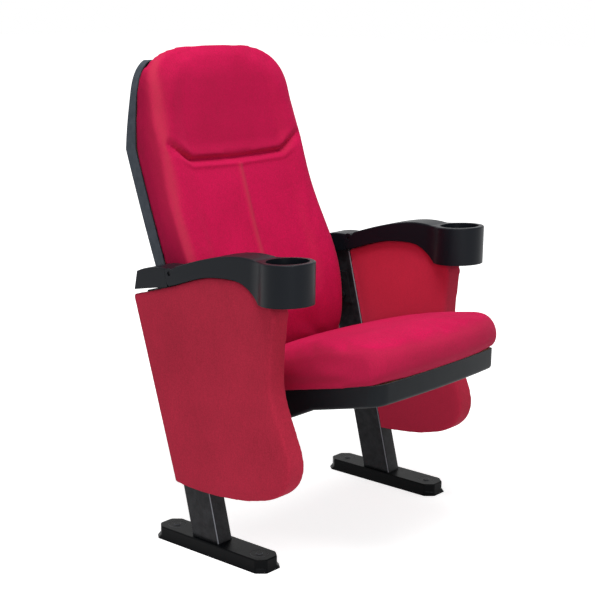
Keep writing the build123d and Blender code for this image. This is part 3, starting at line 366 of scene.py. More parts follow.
@dataclass(frozen=True)
class Cloth:
    """Woven upholstery cloth, with painted light and painted shade wherever its pieces mark them."""

    name: str
    colour: Colour
    deep: Colour
    # Colour of the painted light: a paler, lit tint of the cloth for highlights and sheen.
    light: Colour
    sheen: float = 0.06
    thread: float = 0.0011
    bump: float = 0.35
    mottle: float = 0.3
    tone_scale: float = 7.0
    tone_share: float = 0.35
    weave_share: float = 0.45
    slub_share: float = 0.2
    fleck_scale: float = 330.0
    # Darkness of the painted shade, and how strongly the painted shade and the painted light show.
    painted_shade_tone: float = 0.62
    painted_shade_share: float = 0.75
    painted_light_share: float = 0.7
    gloss: float = 0.12
    roughness: Pair = (0.78, 0.92)
    sheen_tint: Paint = (1.0, 0.35, 0.5, 1.0)

    def build(self, kit: PatternKit) -> Material:
        """Make the cloth's material.

        Args:
            kit: The shared patterns.

        Returns:
            The material.
        """
        material, g, shader, place, facing = start_material(self.name)
        weave = g.group(kit.weave, Place=place, Facing=facing, Thread=self.thread)
        tone = g.group(kit.blotch, Place=place, Scale=self.tone_scale, Low=0.0, High=1.0)
        shade = g.math("MULTIPLY_ADD", tone.outputs["Tone"], self.tone_share,
                       g.remap(weave.outputs["Height"], 0.1, 0.9, 0.0, self.weave_share))
        shade = g.math("ADD", shade, g.remap(weave.outputs["Slub"], *MID_NOISE, 0.0, self.slub_share))
        flecks = g.noise(place, self.fleck_scale, 3.0, 0.7)
        shade = g.math("ADD", shade, g.remap(flecks, *NOISE, -self.mottle, self.mottle))
        cloth = g.blend(shade, opaque(self.deep), opaque(self.colour))
        # Painted shade and painted light, as strongly as each piece marks them per point.
        dark = g.math("MULTIPLY", g.kept("painted_shade"), self.painted_shade_share)
        light = g.math("MULTIPLY", g.kept("painted_light"), self.painted_light_share)
        darker = g.blend(dark, cloth, opaque(self.deep, self.painted_shade_tone))
        g.fill(shader, Base_Color=g.blend(light, darker, opaque(self.light)),
               Roughness=g.remap(weave.outputs["Slub"], *NOISE, *self.roughness),
               Sheen_Weight=self.sheen, Sheen_Roughness=0.5, Sheen_Tint=self.sheen_tint,
               Specular_IOR_Level=self.gloss)
        g.bump(shader, weave.outputs["Height"], self.bump, 0.0004)
        return material


@dataclass(frozen=True)
class Moulding:
    """Moulded plastic with a fine grain."""

    name: str
    colour: Colour
    # Colour of tinted edges: real wear, and a painted highlight on edges that the mesh marks as edge_light.
    edge_tint: Colour
    roughness: float = 0.42
    grain_scale: float = 1300.0
    bump: float = 0.12
    wear: float = 0.5
    # Strength of the painted highlight on marked edges.
    edge: float = 0.9
    gloss: float = 0.4
    index: float = 1.25
    drift: float = 0.93
    drift_scale: float = 9.0

    def build(self, kit: PatternKit) -> Material:
        """Make the moulding's material.

        Args:
            kit: The shared patterns.

        Returns:
            The material.
        """
        material, g, shader, place, _ = start_material(self.name)
        grain = g.group(kit.grain, Place=place, Scale=self.grain_scale)
        _, body = drifting(g, kit, place, self.drift_scale, self.colour, self.drift)
        # Edges tinted by real wear and by a painted highlight where the mesh marks edge_light.
        worn_and_lit = g.math("MULTIPLY", g.group(kit.edge_tint, Place=place).outputs["Mask"], self.wear)
        worn_and_lit = g.math("MAXIMUM", worn_and_lit, g.math("MULTIPLY", g.kept("edge_light"), self.edge))
        smudge = g.noise(place, 26.0, 4.0, 0.6)
        rough = g.remap(smudge, *NOISE, self.roughness - 0.02, self.roughness + 0.03)
        g.fill(shader, Base_Color=g.blend(worn_and_lit, body, opaque(self.edge_tint)),
               Roughness=g.math("SUBTRACT", rough, g.math("MULTIPLY", worn_and_lit, 0.12)),
               IOR=self.index, Specular_IOR_Level=self.gloss)
        g.bump(shader, grain.outputs["Height"], self.bump, 0.0002)
        return material


@dataclass(frozen=True)
class Coated:
    """Steel under a semi-gloss powder coat."""

    name: str
    colour: Colour
    # Colour of tinted edges: real wear, and a painted highlight on edges that the mesh marks as edge_light.
    edge_tint: Colour
    roughness: float = 0.28
    wear: float = 0.45
    gloss: float = 0.22
    index: float = 1.3
    drift: float = 0.8
    drift_scale: float = 14.0
    peel_scale: float = 420.0

    def build(self, kit: PatternKit) -> Material:
        """Make the coating's material.

        Args:
            kit: The shared patterns.

        Returns:
            The material.
        """
        material, g, shader, place, _ = start_material(self.name)
        peel = g.group(kit.grain, Place=place, Scale=self.peel_scale)
        tone, body = drifting(g, kit, place, self.drift_scale, self.colour, self.drift)
        # Edges tinted by real wear and by a painted highlight where the mesh marks edge_light.
        worn_and_lit = g.math("MULTIPLY", g.group(kit.edge_tint, Place=place).outputs["Mask"], self.wear)
        worn_and_lit = g.math("MAXIMUM", worn_and_lit, g.kept("edge_light"))
        g.fill(shader, Base_Color=g.blend(worn_and_lit, body, opaque(self.edge_tint)),
               Roughness=g.remap(tone, 0.0, 1.0, self.roughness - 0.04, self.roughness + 0.06),
               IOR=self.index, Specular_IOR_Level=self.gloss)
        g.bump(shader, peel.outputs["Height"], 0.1, 0.0004)
        return material


@dataclass(frozen=True)
class Plated:
    """Zinc plated steel, brushed along its length."""

    name: str
    colour: Colour
    roughness: float = 0.32
    drift: float = 0.75
    drift_scale: float = 40.0

    def build(self, kit: PatternKit) -> Material:
        """Make the plating's material.

        Args:
            kit: The shared patterns.

        Returns:
            The material.
        """
        material, g, shader, place, _ = start_material(self.name)
        brushed = g.noise(g.vector("MULTIPLY", place, (60.0, 900.0, 900.0)).outputs[0], 1.0, 3.0, 0.6)
        _, body = drifting(g, kit, place, self.drift_scale, self.colour, self.drift)
        g.fill(shader, Base_Color=body, Metallic=1.0,
               Roughness=g.remap(brushed, *NOISE, self.roughness - 0.08, self.roughness + 0.1))
        g.bump(shader, brushed, 0.08, 0.0002)
        return material


@dataclass(frozen=True)
class Plywood:
    """Birch ply, with its layers showing at the cut edges."""

    name: str
    light: Colour
    dark: Colour
    roughness: Pair = (0.55, 0.75)

    def build(self, kit: PatternKit) -> Material:
        """Make the plywood's material.

        Args:
            kit: The shared patterns.

        Returns:
            The material.
        """
        material, g, shader, place, _ = start_material(self.name)
        stretched = g.vector("MULTIPLY", place, (6.0, 60.0, 60.0)).outputs[0]
        rings = g.noise(stretched, 1.0, 6.0, 0.6)
        tone = g.group(kit.blotch, Place=place, Scale=5.0, Low=0.0, High=0.5)
        shade = g.math("ADD", g.remap(rings, *MID_NOISE, 0.0, 0.6), tone.outputs["Tone"])
        g.fill(shader, Base_Color=g.blend(shade, opaque(self.light), opaque(self.dark)),
               Roughness=g.remap(rings, *NOISE, *self.roughness))
        g.bump(shader, rings, 0.15, 0.0004)
        return material


@dataclass(frozen=True)
class Soft:
    """Plain nylon or rubber, dull and slightly uneven."""

    name: str
    colour: Colour
    roughness: float
    drift: float = 0.85
    drift_scale: float = 60.0
    grain_scale: float = 1500.0

    def build(self, kit: PatternKit) -> Material:
        """Make the material.

        Args:
            kit: The shared patterns.

        Returns:
            The material.
        """
        material, g, shader, place, _ = start_material(self.name)
        tone, body = drifting(g, kit, place, self.drift_scale, self.colour, self.drift)
        g.fill(shader, Base_Color=body, Roughness=g.remap(tone, 0.0, 1.0, self.roughness, self.roughness + 0.1))
        grain = g.group(kit.grain, Place=place, Scale=self.grain_scale)
        g.bump(shader, grain.outputs["Height"], 0.08, 0.0002)
        return material


def start_material(name: str) -> tuple[Material, Graph, Node, NodeSocket, NodeSocket]:
    """Start a material with its shader, its output and the coordinates of its object.

    Args:
        name: Name of the material.

    Returns:
        The material, its graph, its shader, and the sockets of the place and of the facing.
    """
    material = bpy.data.materials.new(name)
    material.use_nodes = True
    g = Graph(material.node_tree)
    out = g.add("OutputMaterial")
    shader = g.add("BsdfPrincipled")
    g.feed(out.inputs["Surface"], shader.outputs[0])
    coordinates = g.add("TexCoord")
    return material, g, shader, coordinates.outputs["Object"], coordinates.outputs["Normal"]


def drifting(g: Graph, kit: PatternKit, place: NodeSocket, scale: float, colour: Colour,
             share: float) -> tuple[NodeSocket, NodeSocket]:
    """Let a colour drift slowly between itself and a darker share of it.

    Args:
        g: The material's graph.
        kit: The shared patterns.
        place: Coordinates.
        scale: Scale of the drift.
        colour: The colour.
        share: Share of it at the dark end.

    Returns:
        The drift, from 0 to 1, and the drifting colour.
    """
    tone = g.group(kit.blotch, Place=place, Scale=scale, Low=0.0, High=1.0).outputs["Tone"]
    return tone, g.blend(tone, opaque(colour, share), opaque(colour))


class Finish(Enum):
    """Every finish on the seat."""

    # The third colour of each cloth is its painted light.
    SEAT_CLOTH = Cloth("seat_cloth", srgb(219, 16, 86), srgb(170, 9, 61), srgb(186, 52, 74))
    PANEL_CLOTH = Cloth("panel_cloth", srgb(199, 46, 73), srgb(158, 34, 55), srgb(232, 52, 88))
    # The second colour of these three mouldings is a painted highlight on their bevelled edges, as their wear is 0.
    BLACK_MOULDING = Moulding("black_moulding", srgb(17, 21, 27), srgb(118, 124, 132), roughness=0.38, wear=0.0)
    FOOT_MOULDING = Moulding("foot_moulding", srgb(6, 7, 9), srgb(100, 102, 108), roughness=0.36, wear=0.0, gloss=0.2)
    TRAY_MOULDING = Moulding("tray_moulding", srgb(20, 24, 28), srgb(84, 90, 98), roughness=0.5, wear=0.0)
    GREY_MOULDING = Moulding("grey_moulding", srgb(50, 57, 65), srgb(84, 90, 98), roughness=0.55)
    COATED_STEEL = Coated("black_coated_steel", srgb(12, 12, 14), srgb(60, 60, 64))
    # Its second colour is mostly a painted highlight along the column corners, with a little real wear.
    COLUMN_COAT = Coated("column_coat", srgb(8, 8, 10), srgb(150, 152, 160), wear=0.08)
    PLATED_STEEL = Plated("plated_steel", (0.55, 0.55, 0.57))
    PLY = Plywood("birch_ply", (0.58, 0.4, 0.22), (0.38, 0.23, 0.11))
    NYLON = Soft("nylon", (0.72, 0.71, 0.66), 0.45)
    RUBBER = Soft("rubber", (0.02, 0.02, 0.021), 0.7)


class Wardrobe:
    """Builds each finish when it is first asked for, and dresses objects in it."""

    def __init__(self) -> None:
        """Build the shared patterns."""
        self.kit = PatternKit()
        self.made: dict[Finish, Material] = {}

    def dress(self, obj: Object, finish: Finish) -> None:
        """Give an object one finish all over.

        Args:
            obj: The object.
            finish: The finish.
        """
        if finish not in self.made:
            self.made[finish] = finish.value.build(self.kit)
        obj.data.materials.clear()
        obj.data.materials.append(self.made[finish])

    def dress_nodes(self, names: Iterable[str], finish: Finish) -> None:
        """Give CAD nodes one finish, and report them.

        Args:
            names: Names of the nodes.
            finish: The finish.
        """
        for name in names:
            self.dress(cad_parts[name], finish)
            log.info("dressed %s in %s", name, finish.name)


# Mesh work.


def piece_from(name: str, shape: BMesh) -> Object:
    """Make an object of a bmesh, free the bmesh and put the object in the scene.

    Args:
        name: Name of the object and of its mesh.
        shape: The bmesh.

    Returns:
        The object.
    """
    mesh = bpy.data.meshes.new(name)
    shape.to_mesh(mesh)
    shape.free()
    obj = bpy.data.objects.new(name, mesh)
    bpy.context.scene.collection.objects.link(obj)
    return obj


def report(piece: Object) -> None:
    """Log a finished piece."""
    log.info("made %s with %d points", piece.name, len(piece.data.vertices))


def cad_copy(node: str) -> BMesh:
    """Copy a CAD node's mesh, with its loose triangles joined.

    Args:
        node: Name of the CAD node.

    Returns:
        The joined copy.
    """
    shape = bmesh.new()
    shape.from_mesh(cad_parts[node].data)
    bmesh.ops.remove_doubles(shape, verts=shape.verts, dist=2e-6)
    return shape


def bake_modifiers(obj: Object) -> None:
    """Replace an object's mesh by the one its modifiers give, and drop them.

    Args:
        obj: Object with modifiers.
    """
    graph = bpy.context.evaluated_depsgraph_get()
    mesh = bpy.data.meshes.new_from_object(obj.evaluated_get(graph))
    obj.modifiers.clear()
    old = obj.data
    obj.data = mesh
    bpy.data.meshes.remove(old)


def smooth(obj: Object, angle: float = 40.0) -> None:
    """Shade an object smooth, but keep edges sharper than an angle.

    Args:
        obj: Object to shade.
        angle: Angle in degrees above which an edge stays sharp.
    """
    obj.data.shade_smooth()
    shape = bmesh.new()
    shape.from_mesh(obj.data)
    for edge in shape.edges:
        edge.smooth = not (edge.is_manifold and edge.calc_face_angle(0.0) > math.radians(angle))
    shape.to_mesh(obj.data)
    shape.free()


def read(mesh: Mesh, what: str) -> np.ndarray:
    """Read three numbers for each of a mesh's points.

    Args:
        mesh: Mesh to read.
        what: Blender's name for them.

    Returns:
        Rows of x, y, z.
    """
    rows = np.empty(len(mesh.vertices) * 3)
    mesh.vertices.foreach_get(what, rows)
    return rows.reshape(-1, 3)


def points_of(mesh: Mesh) -> np.ndarray:
    """Read a mesh's points as rows of x, y, z."""
    return read(mesh, "co")


def normals_of(mesh: Mesh) -> np.ndarray:
    """Read a mesh's point normals as rows of x, y, z."""
    return read(mesh, "normal")


def put_points(mesh: Mesh, rows: np.ndarray) -> None:
    """Write a mesh's points from rows of x, y, z."""
    mesh.vertices.foreach_set("co", np.ascontiguousarray(rows).ravel())
    mesh.update()


def edge_ends(mesh: Mesh) -> np.ndarray:
    """Read the ends of a mesh's edges.

    Args:
        mesh: Mesh to read.

    Returns:
        A row of two point numbers for each edge.
    """
    ends = np.empty(len(mesh.edges) * 2, dtype=np.int64)
    mesh.edges.foreach_get("vertices", ends)
    return ends.reshape(-1, 2)


def store(mesh: Mesh, name: str, values: np.ndarray) -> None:
    """Keep one value per point on a mesh, for its material to read."""
    layer = mesh.attributes.new(name, "FLOAT", "POINT")
    layer.data.foreach_set("value", np.ascontiguousarray(values, dtype=np.float32))


def iron(mesh: Mesh, free: np.ndarray, rounds: int, swell_back: float = 0.53) -> None:
    """Smooth a mesh without shrinking it: each round pulls the points together, then apart again.

    Args:
        mesh: Mesh to smooth.
        free: How far each point may follow, from 0 to 1.
        rounds: Number of rounds.
        swell_back: Strength of the second, outward step; 0 gives plain smoothing.
    """
    ends = edge_ends(mesh)
    rows = points_of(mesh)
    count = np.bincount(ends.ravel(), minlength=len(rows)).astype(float)[:, None]
    count[count == 0] = 1.0
    share = free[:, None]
    steps = (0.5, -swell_back) if swell_back else (0.5,)
    for strength in steps * rounds:
        total = np.zeros_like(rows)
        for axis in range(3):
            total[:, axis] = np.bincount(ends[:, 0], rows[ends[:, 1], axis], len(rows))
            total[:, axis] += np.bincount(ends[:, 1], rows[ends[:, 0], axis], len(rows))
        rows = rows + share * strength * (total / count - rows)
    put_points(mesh, rows)


def ramp(at: np.ndarray, start: float | np.ndarray, run: float) -> np.ndarray:
    """Rise straight from 0 at a start to 1 a run further on.

    Args:
        at: Places to read at.
        start: Place where the rise starts.
        run: Length of the rise; a negative one goes the other way.

    Returns:
        The rise at each place.
    """
    return np.clip((at - start) / run, 0.0, 1.0)


def hump(at: np.ndarray, centre: float, width: float) -> np.ndarray:
    """Read a bell curve of height 1 at many places."""
    return np.exp(-(((at - centre) / width) ** 2))


@dataclass(frozen=True)
class Upholstery:
    """Turns a plain CAD pad into a full cushion with even squares."""

    square: float = 0.007
    pressure: float = 3.0
    frames: int = 14
    shrink: float = 0.003
    cap: float = 0.010
    first_iron: int = 6
    last_iron: int = 14
    quality: int = 4
    mass: float = 0.3
    stiffness: float = 40.0
    shear: float = 20.0
    bending: float = 10.0

    def inflate(self, name: str, node: str, held: Callable[[np.ndarray], np.ndarray],
                wardrobe: Wardrobe, finish: Finish) -> Object:
        """Remesh a CAD pad, swell it as cloth, and cap how far it may move.

        Args:
            name: Name of the new piece.
            node: CAD pad to start from.
            held: Says which rows of points rest on a board and stay put.
            wardrobe: Gives the finish.
            finish: Cloth of the pad.

        Returns:
            The finished piece, with no modifiers left.
        """
        pad = piece_from(name, cad_copy(node))
        self._remesh(pad)
        free = 1.0 - held(points_of(pad.data)).astype(float)
        iron(pad.data, free, self.first_iron)
        put_points(pad.data, points_of(pad.data) - normals_of(pad.data) * (self.shrink * free)[:, None])
        self._swell(pad, free)
        iron(pad.data, free, self.last_iron)
        round_off = pad.modifiers.new("round", "SUBSURF")
        round_off.levels = 1
        round_off.render_levels = 1
        bake_modifiers(pad)
        pad.data.shade_smooth()
        wardrobe.dress(pad, finish)
        return pad

    def _remesh(self, pad: Object) -> None:
        """Cover a pad with even squares that keep its rim sharp.

        Args:
            pad: The pad.
        """
        length = max(pad.dimensions)
        depth = math.ceil(math.log2(length / self.square))
        remesh = pad.modifiers.new("remesh", "REMESH")
        remesh.mode = "SHARP"
        remesh.octree_depth = depth
        remesh.scale = min(0.99, length / (self.square * 2 ** depth))
        bake_modifiers(pad)

    def _swell(self, pad: Object, free: np.ndarray) -> None:
        """Run the cloth and take its result, no point further than the cap from where it began.

        Args:
            pad: The pad.
            free: 1 for a point that may move, 0 for one that is held.
        """
        start = points_of(pad.data)
        pins = pad.vertex_groups.new(name="pins")
        pins.add([int(i) for i in np.nonzero(free == 0.0)[0]], 1.0, "REPLACE")
        cloth = pad.modifiers.new("cloth", "CLOTH")
        settings = cloth.settings
        settings.quality = self.quality
        settings.mass = self.mass
        settings.tension_stiffness = self.stiffness
        settings.compression_stiffness = self.stiffness
        settings.shear_stiffness = self.shear
        settings.bending_stiffness = self.bending
        settings.use_pressure = True
        settings.uniform_pressure_force = self.pressure
        settings.effector_weights.gravity = 0.0
        settings.vertex_group_mass = "pins"
        cloth.collision_settings.use_collision = False
        scene = bpy.context.scene
        for step in range(1, self.frames + 1):
            scene.frame_set(step)
        bake_modifiers(pad)
        pad.vertex_groups.clear()
        scene.frame_set(1)
        moved = points_of(pad.data) - start
        length = np.linalg.norm(moved, axis=1, keepdims=True)
        moved *= np.minimum(1.0, self.cap / np.maximum(length, 1e-9))
        put_points(pad.data, start + moved)


def along(route: Sequence[Pair], x: np.ndarray, z: np.ndarray) -> np.ndarray:
    """Measure how far points lie from a line of straight runs.

    Args:
        route: Corner points of the line.
        x: First coordinate of the points.
        z: Second coordinate of the points.

    Returns:
        The shortest distances.
    """
    best = np.full(len(x), np.inf)
    for (x1, z1), (x2, z2) in zip(route, route[1:]):
        dx, dz = x2 - x1, z2 - z1
        share = np.clip(((x - x1) * dx + (z - z1) * dz) / (dx * dx + dz * dz), 0.0, 1.0)
        best = np.minimum(best, np.hypot(x - x1 - share * dx, z - z1 - share * dz))
    return best


def table(rows: Sequence[Pair], at: np.ndarray) -> np.ndarray:
    """Read a table of rising first values at many places, straight between its rows.

    Args:
        rows: Pairs of a place and its value.
        at: Places to read at.

    Returns:
        The values there.
    """
    return np.interp(at, [row[0] for row in rows], [row[1] for row in rows])


# The seat's sub-assemblies.


# Heights, and how far back the plane of the back's board lies there.
BACK_PLANE = ((0.346, 0.157), (0.520, 0.178), (0.823, 0.296), (0.935, 0.306), (1.050, 0.306))
# The front end (y, z) and the slope of the plane that the seat cushion rests on.
RIM_FRONT = (-0.364, 0.416)
RIM_SLOPE = 0.225
# How far past its board's plane a point still counts as resting on it.
REST = 0.002


@dataclass
class SeatCushion:
    """The tip up cushion: plump, round-nosed and smooth."""

    wardrobe: Wardrobe
    work: Upholstery = Upholstery(last_iron=24)
    corner_out: Run = (0.14, 0.04)
    corner_ahead: Run = (-0.27, -0.04)
    corner_up: Run = (0.016, 0.02)
    corner_rounds: int = 40
    # Painted light on the upright walls; painted shade under the front roll and on the walls.
    wall_light: float = 0.4
    wall_light_from: Run = (0.35, 0.35)
    under_dark: float = 0.75
    under_dark_from: Run = (0.2, -0.5)
    wall_dark: float = 0.3
    wall_dark_from: Run = (0.3, 0.3)

    def build(self) -> None:
        """Make the cushion from its CAD solid, with softer front corners and painted light and shade."""
        pad = self.work.inflate("seat_cushion_cover", "seat_cushion", self._on_board, self.wardrobe, Finish.SEAT_CLOTH)
        x, y, z = points_of(pad.data).T
        corner = ramp(np.abs(x), *self.corner_out) * ramp(y, *self.corner_ahead)
        iron(pad.data, corner * ramp(z - z.min(), *self.corner_up), self.corner_rounds, 0.0)
        # Paint light onto the upright walls, and shade under the front roll and on the walls.
        normals = normals_of(pad.data)
        upright = np.hypot(normals[:, 0], normals[:, 1])
        store(pad.data, "painted_light", self.wall_light * ramp(upright, *self.wall_light_from))
        under = self.under_dark * ramp(normals[:, 2], *self.under_dark_from)
        store(pad.data, "painted_shade", np.maximum(under, self.wall_dark * ramp(upright, *self.wall_dark_from)))
        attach(pad, Body.SEAT.value)
        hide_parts("seat_cushion")
        report(pad)

    def _on_board(self, rows: np.ndarray) -> np.ndarray:
        """Tell which points lie on the board's plane."""
        return rows[:, 2] < RIM_FRONT[1] - RIM_SLOPE * (rows[:, 1] - RIM_FRONT[0]) + REST


@dataclass
class BackCushion:
    """The high back: side bolsters, a headrest over a sewn groove, and a seam down the middle."""

    wardrobe: Wardrobe
    work: Upholstery = Upholstery(last_iron=20)
    groove: tuple[Pair, ...] = (
        (-0.208, 0.833), (-0.148, 0.799), (0.0, 0.795), (0.148, 0.799), (0.208, 0.833))
    groove_depth: float = 0.0075
    groove_width: float = 0.0042
    groove_fade: float = 0.045
    crease_width: float = 0.02
    crease_out: Run = (0.165, 0.03)
    crease_rounds: int = 14
    lip: float = 0.0022
    lip_at: Run = (0.013, 0.005)
    brow: float = 0.0035
    brow_at: Run = (0.014, 0.012)
    ridge: float = 0.0030
    ridge_width: float = 0.0065
    seam_foot: Run = (0.40, 0.06)
    seam_head: Run = (0.787, -0.008)
    crown: float = 0.0035
    crown_from: Run = (0.975, 0.05)
    board_top: float = 1.0
    facing_front: float = -0.2
    # Painted highlights on the bolster crests; painted shade on the headrest, down the sides and a little all over.
    crest: float = 0.85
    crest_at: Run = (0.56, 0.32)
    far_crest: float = 0.4
    head_shade: float = 0.5
    head_foot: float = 0.01
    head_top: Run = (1.03, -0.06)
    head_side: Run = (0.7, -0.5)
    flank: float = 0.8
    flank_from: Run = (0.72, 0.16)
    least_dark: float = 0.12

    def build(self) -> None:
        """Make the cushion from its CAD solid, then sew its groove and seam and paint its light and shade."""
        pad = self.work.inflate("back_cushion_cover", "back_cushion", self._on_board, self.wardrobe, Finish.SEAT_CLOTH)
        seam = self._sew(pad)
        self._paint_light_and_shade(pad, seam)
        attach(pad, Body.FRAME.value)
        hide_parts("back_cushion")
        report(pad)

    def _on_board(self, rows: np.ndarray) -> np.ndarray:
        """Tell which points lie on the plane of the board and the shell's rim."""
        plane = table(BACK_PLANE, rows[:, 2])
        return (rows[:, 1] > plane - REST) & (rows[:, 2] < self.board_top)

    def _sew(self, pad: Object) -> np.ndarray:
        """Pull the front in along the groove, with its fuller brow and lip, and raise the seam.

        Args:
            pad: The finished cushion.

        Returns:
            How much each point lies on the seam, from 0 to 1.
        """
        x, _, z = points_of(pad.data).T
        front = normals_of(pad.data)[:, 1] < self.facing_front
        near = along(self.groove, x, z)
        crease = hump(near, 0.0, self.crease_width) * ramp(np.abs(x), *self.crease_out)
        iron(pad.data, crease, self.crease_rounds, 0.0)
        rows = points_of(pad.data)
        pull = self.groove_depth * hump(near, 0.0, self.groove_width)
        pull -= np.where(z > table(self.groove, x), self.brow * hump(near, *self.brow_at),
                         self.lip * hump(near, *self.lip_at))
        pull *= ramp(np.abs(x), self.groove[-1][0], -self.groove_fade)
        run = ramp(z, *self.seam_foot) * ramp(z, *self.seam_head)
        seam = run * hump(x, 0.0, self.ridge_width) * front
        rows[:, 1] += (pull - self.ridge * seam) * front
        rows[:, 2] += self.crown * ramp(z, *self.crown_from) ** 2
        put_points(pad.data, rows)
        return seam

    def _paint_light_and_shade(self, pad: Object, seam: np.ndarray) -> None:
        """Paint light and shade into the cloth: painted highlights on the crests and the seam, painted shade down the
        sides and on the headrest.

        Args:
            pad: The finished cushion.
            seam: How much each point lies on the seam.
        """
        normals = normals_of(pad.data)
        side = np.abs(normals[:, 0])
        x, _, z = points_of(pad.data).T
        crest = self.crest * hump(-normals[:, 0], *self.crest_at) * np.clip(-normals[:, 1] * 3.0, 0.0, 1.0)
        crest *= np.where(x > 0.0, self.far_crest, 1.0)
        store(pad.data, "painted_light", np.maximum(crest * (1.0 - seam), seam))
        head = ramp(z, table(self.groove, x), self.head_foot) * ramp(z, *self.head_top)
        head *= ramp(side, *self.head_side)
        flank = self.flank * ramp(side, *self.flank_from)
        store(pad.data, "painted_shade", np.maximum(np.maximum(flank, self.head_shade * head), self.least_dark))


@dataclass
class SidePanels:
    """The two upholstered side panels, the right one a mirror image of the left."""

    wardrobe: Wardrobe
    work: Upholstery = Upholstery(
        square=0.005, pressure=1.5, frames=8, shrink=0.001, cap=0.002, first_iron=3, last_iron=5)
    front_edge: tuple[Pair, ...] = ((0.10, -0.17), (0.14, -0.195), (0.28, -0.20), (0.40, -0.165), (0.55, -0.19))
    front_reach: float = 0.085
    front_fade: float = 0.03
    front_top: Run = (0.57, -0.04)
    front_rounds: int = 34
    rise: float = 0.0023
    least_rise: float = 0.6
    rise_front: Run = (-0.03, 0.03)
    rise_rear: Run = (0.100, -0.02)
    rise_foot: Run = (0.5, 0.03)
    # Strength of the painted light on the panels' inner faces.
    light: float = 0.6
    column_x: float = 0.300
    column_half: float = 0.0235
    column_lean: float = 0.2586
    column_foot: Pair = (0.034, 0.006)
    column_top: float = 0.53

    def build(self) -> None:
        """Make the left cover from its CAD solid, and the right one from the left."""
        left = self.work.inflate(
            "left_panel_cover", "left_panel_pad", self._in_channel, self.wardrobe, Finish.PANEL_CLOTH)
        self._soften_front(left)
        outward = self._fill_up(left)
        # Painted light on the inner face, which the mirrored right panel keeps.
        store(left.data, "painted_light", self.light * np.clip(-outward, 0.0, 1.0) ** 2)
        shape = bmesh.new()
        shape.from_mesh(left.data)
        bmesh.ops.scale(shape, vec=(-1.0, 1.0, 1.0), verts=shape.verts)
        bmesh.ops.recalc_face_normals(shape, faces=shape.faces)
        right = piece_from("right_panel_cover", shape)
        right.data.shade_smooth()
        self.wardrobe.dress(right, Finish.PANEL_CLOTH)
        for pad, node in ((left, "left_panel_pad"), (right, "right_panel_pad")):
            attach(pad, Body.FRAME.value)
            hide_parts(node)
            report(pad)

    def _soften_front(self, pad: Object) -> None:
        """Round the front and the foot of a panel further, as its foam is.

        Args:
            pad: The finished left panel.
        """
        _, y, z = points_of(pad.data).T
        share = ramp(y, table(self.front_edge, z) + self.front_reach, -self.front_fade) * ramp(z, *self.front_top)
        iron(pad.data, share, self.front_rounds, 0.0)

    def _fill_up(self, pad: Object) -> np.ndarray:
        """Raise the top edge a little, close under the arm.

        Args:
            pad: The finished left panel.

        Returns:
            How far each point faced outward before.
        """
        rows, normals = points_of(pad.data), normals_of(pad.data)
        span = ramp(rows[:, 1], *self.rise_front) * ramp(rows[:, 1], *self.rise_rear)
        upper = np.clip(normals[:, 2] * 2.0, 0.0, 1.0) * ramp(rows[:, 2], *self.rise_foot)
        rows[:, 2] += self.rise * (self.least_rise + (1.0 - self.least_rise) * span) * upper
        put_points(pad.data, rows)
        return normals[:, 0]

    def _in_channel(self, rows: np.ndarray) -> np.ndarray:
        """Tell which points lie in the channel round the column.

        Args:
            rows: Rows of x, y, z.

        Returns:
            True for each point in the channel.
        """
        x, y, z = rows.T
        behind = y > self.column_lean * (z - self.column_foot[1]) - self.column_foot[0]
        return (np.abs(x - self.column_x) < self.column_half) & behind & (z < self.column_top)


@dataclass
class SoftEdges:
    """Mouldings and covers with their sharp edges broken, as they leave the tool."""

    wardrobe: Wardrobe
    plan: tuple[tuple[str, float, Finish, Body], ...] = (
        ("left_arm", 0.0014, Finish.BLACK_MOULDING, Body.LEFT_ARM),
        ("right_arm", 0.0014, Finish.BLACK_MOULDING, Body.RIGHT_ARM),
        ("left_arm_block", 0.0009, Finish.BLACK_MOULDING, Body.FRAME),
        ("right_arm_block", 0.0009, Finish.BLACK_MOULDING, Body.FRAME),
        ("left_foot_cover", 0.0008, Finish.FOOT_MOULDING, Body.FRAME),
        ("right_foot_cover", 0.0008, Finish.FOOT_MOULDING, Body.FRAME),
        ("foot_plugs", 0.0012, Finish.FOOT_MOULDING, Body.FRAME),
        ("seat_pan", 0.0010, Finish.TRAY_MOULDING, Body.SEAT),
    )
    sharp: float = 38.0
    flat: float = 0.5

    def build(self) -> None:
        """Make an edged copy of each moulding and put it in the node's place."""
        for node, width, finish, body in self.plan:
            shape = cad_copy(node)
            bmesh.ops.dissolve_limit(shape, angle_limit=math.radians(self.flat), verts=shape.verts, edges=shape.edges)
            crisp = [edge for edge in shape.edges if edge.calc_face_angle(0.0) > math.radians(self.sharp)]
            made = bmesh.ops.bevel(shape, geom=crisp, offset=width, offset_type="OFFSET", segments=3, profile=0.5,
                                   material=-1, affect="EDGES", clamp_overlap=True, loop_slide=True)
            broken = set(made["faces"])
            shape.verts.index_update()
            # Mark the middle of each bevel, where the painted highlight goes.
            light = np.array([float(all(face in broken for face in point.link_faces)) for point in shape.verts])
            piece = piece_from(f"{node}_edged", shape)
            store(piece.data, "edge_light", light)
            smooth(piece, self.sharp)
            even = piece.modifiers.new("even", "WEIGHTED_NORMAL")
            even.keep_sharp = True
            bake_modifiers(piece)
            self.wardrobe.dress(piece, finish)
            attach(piece, body.value)
            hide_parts(node)
            report(piece)


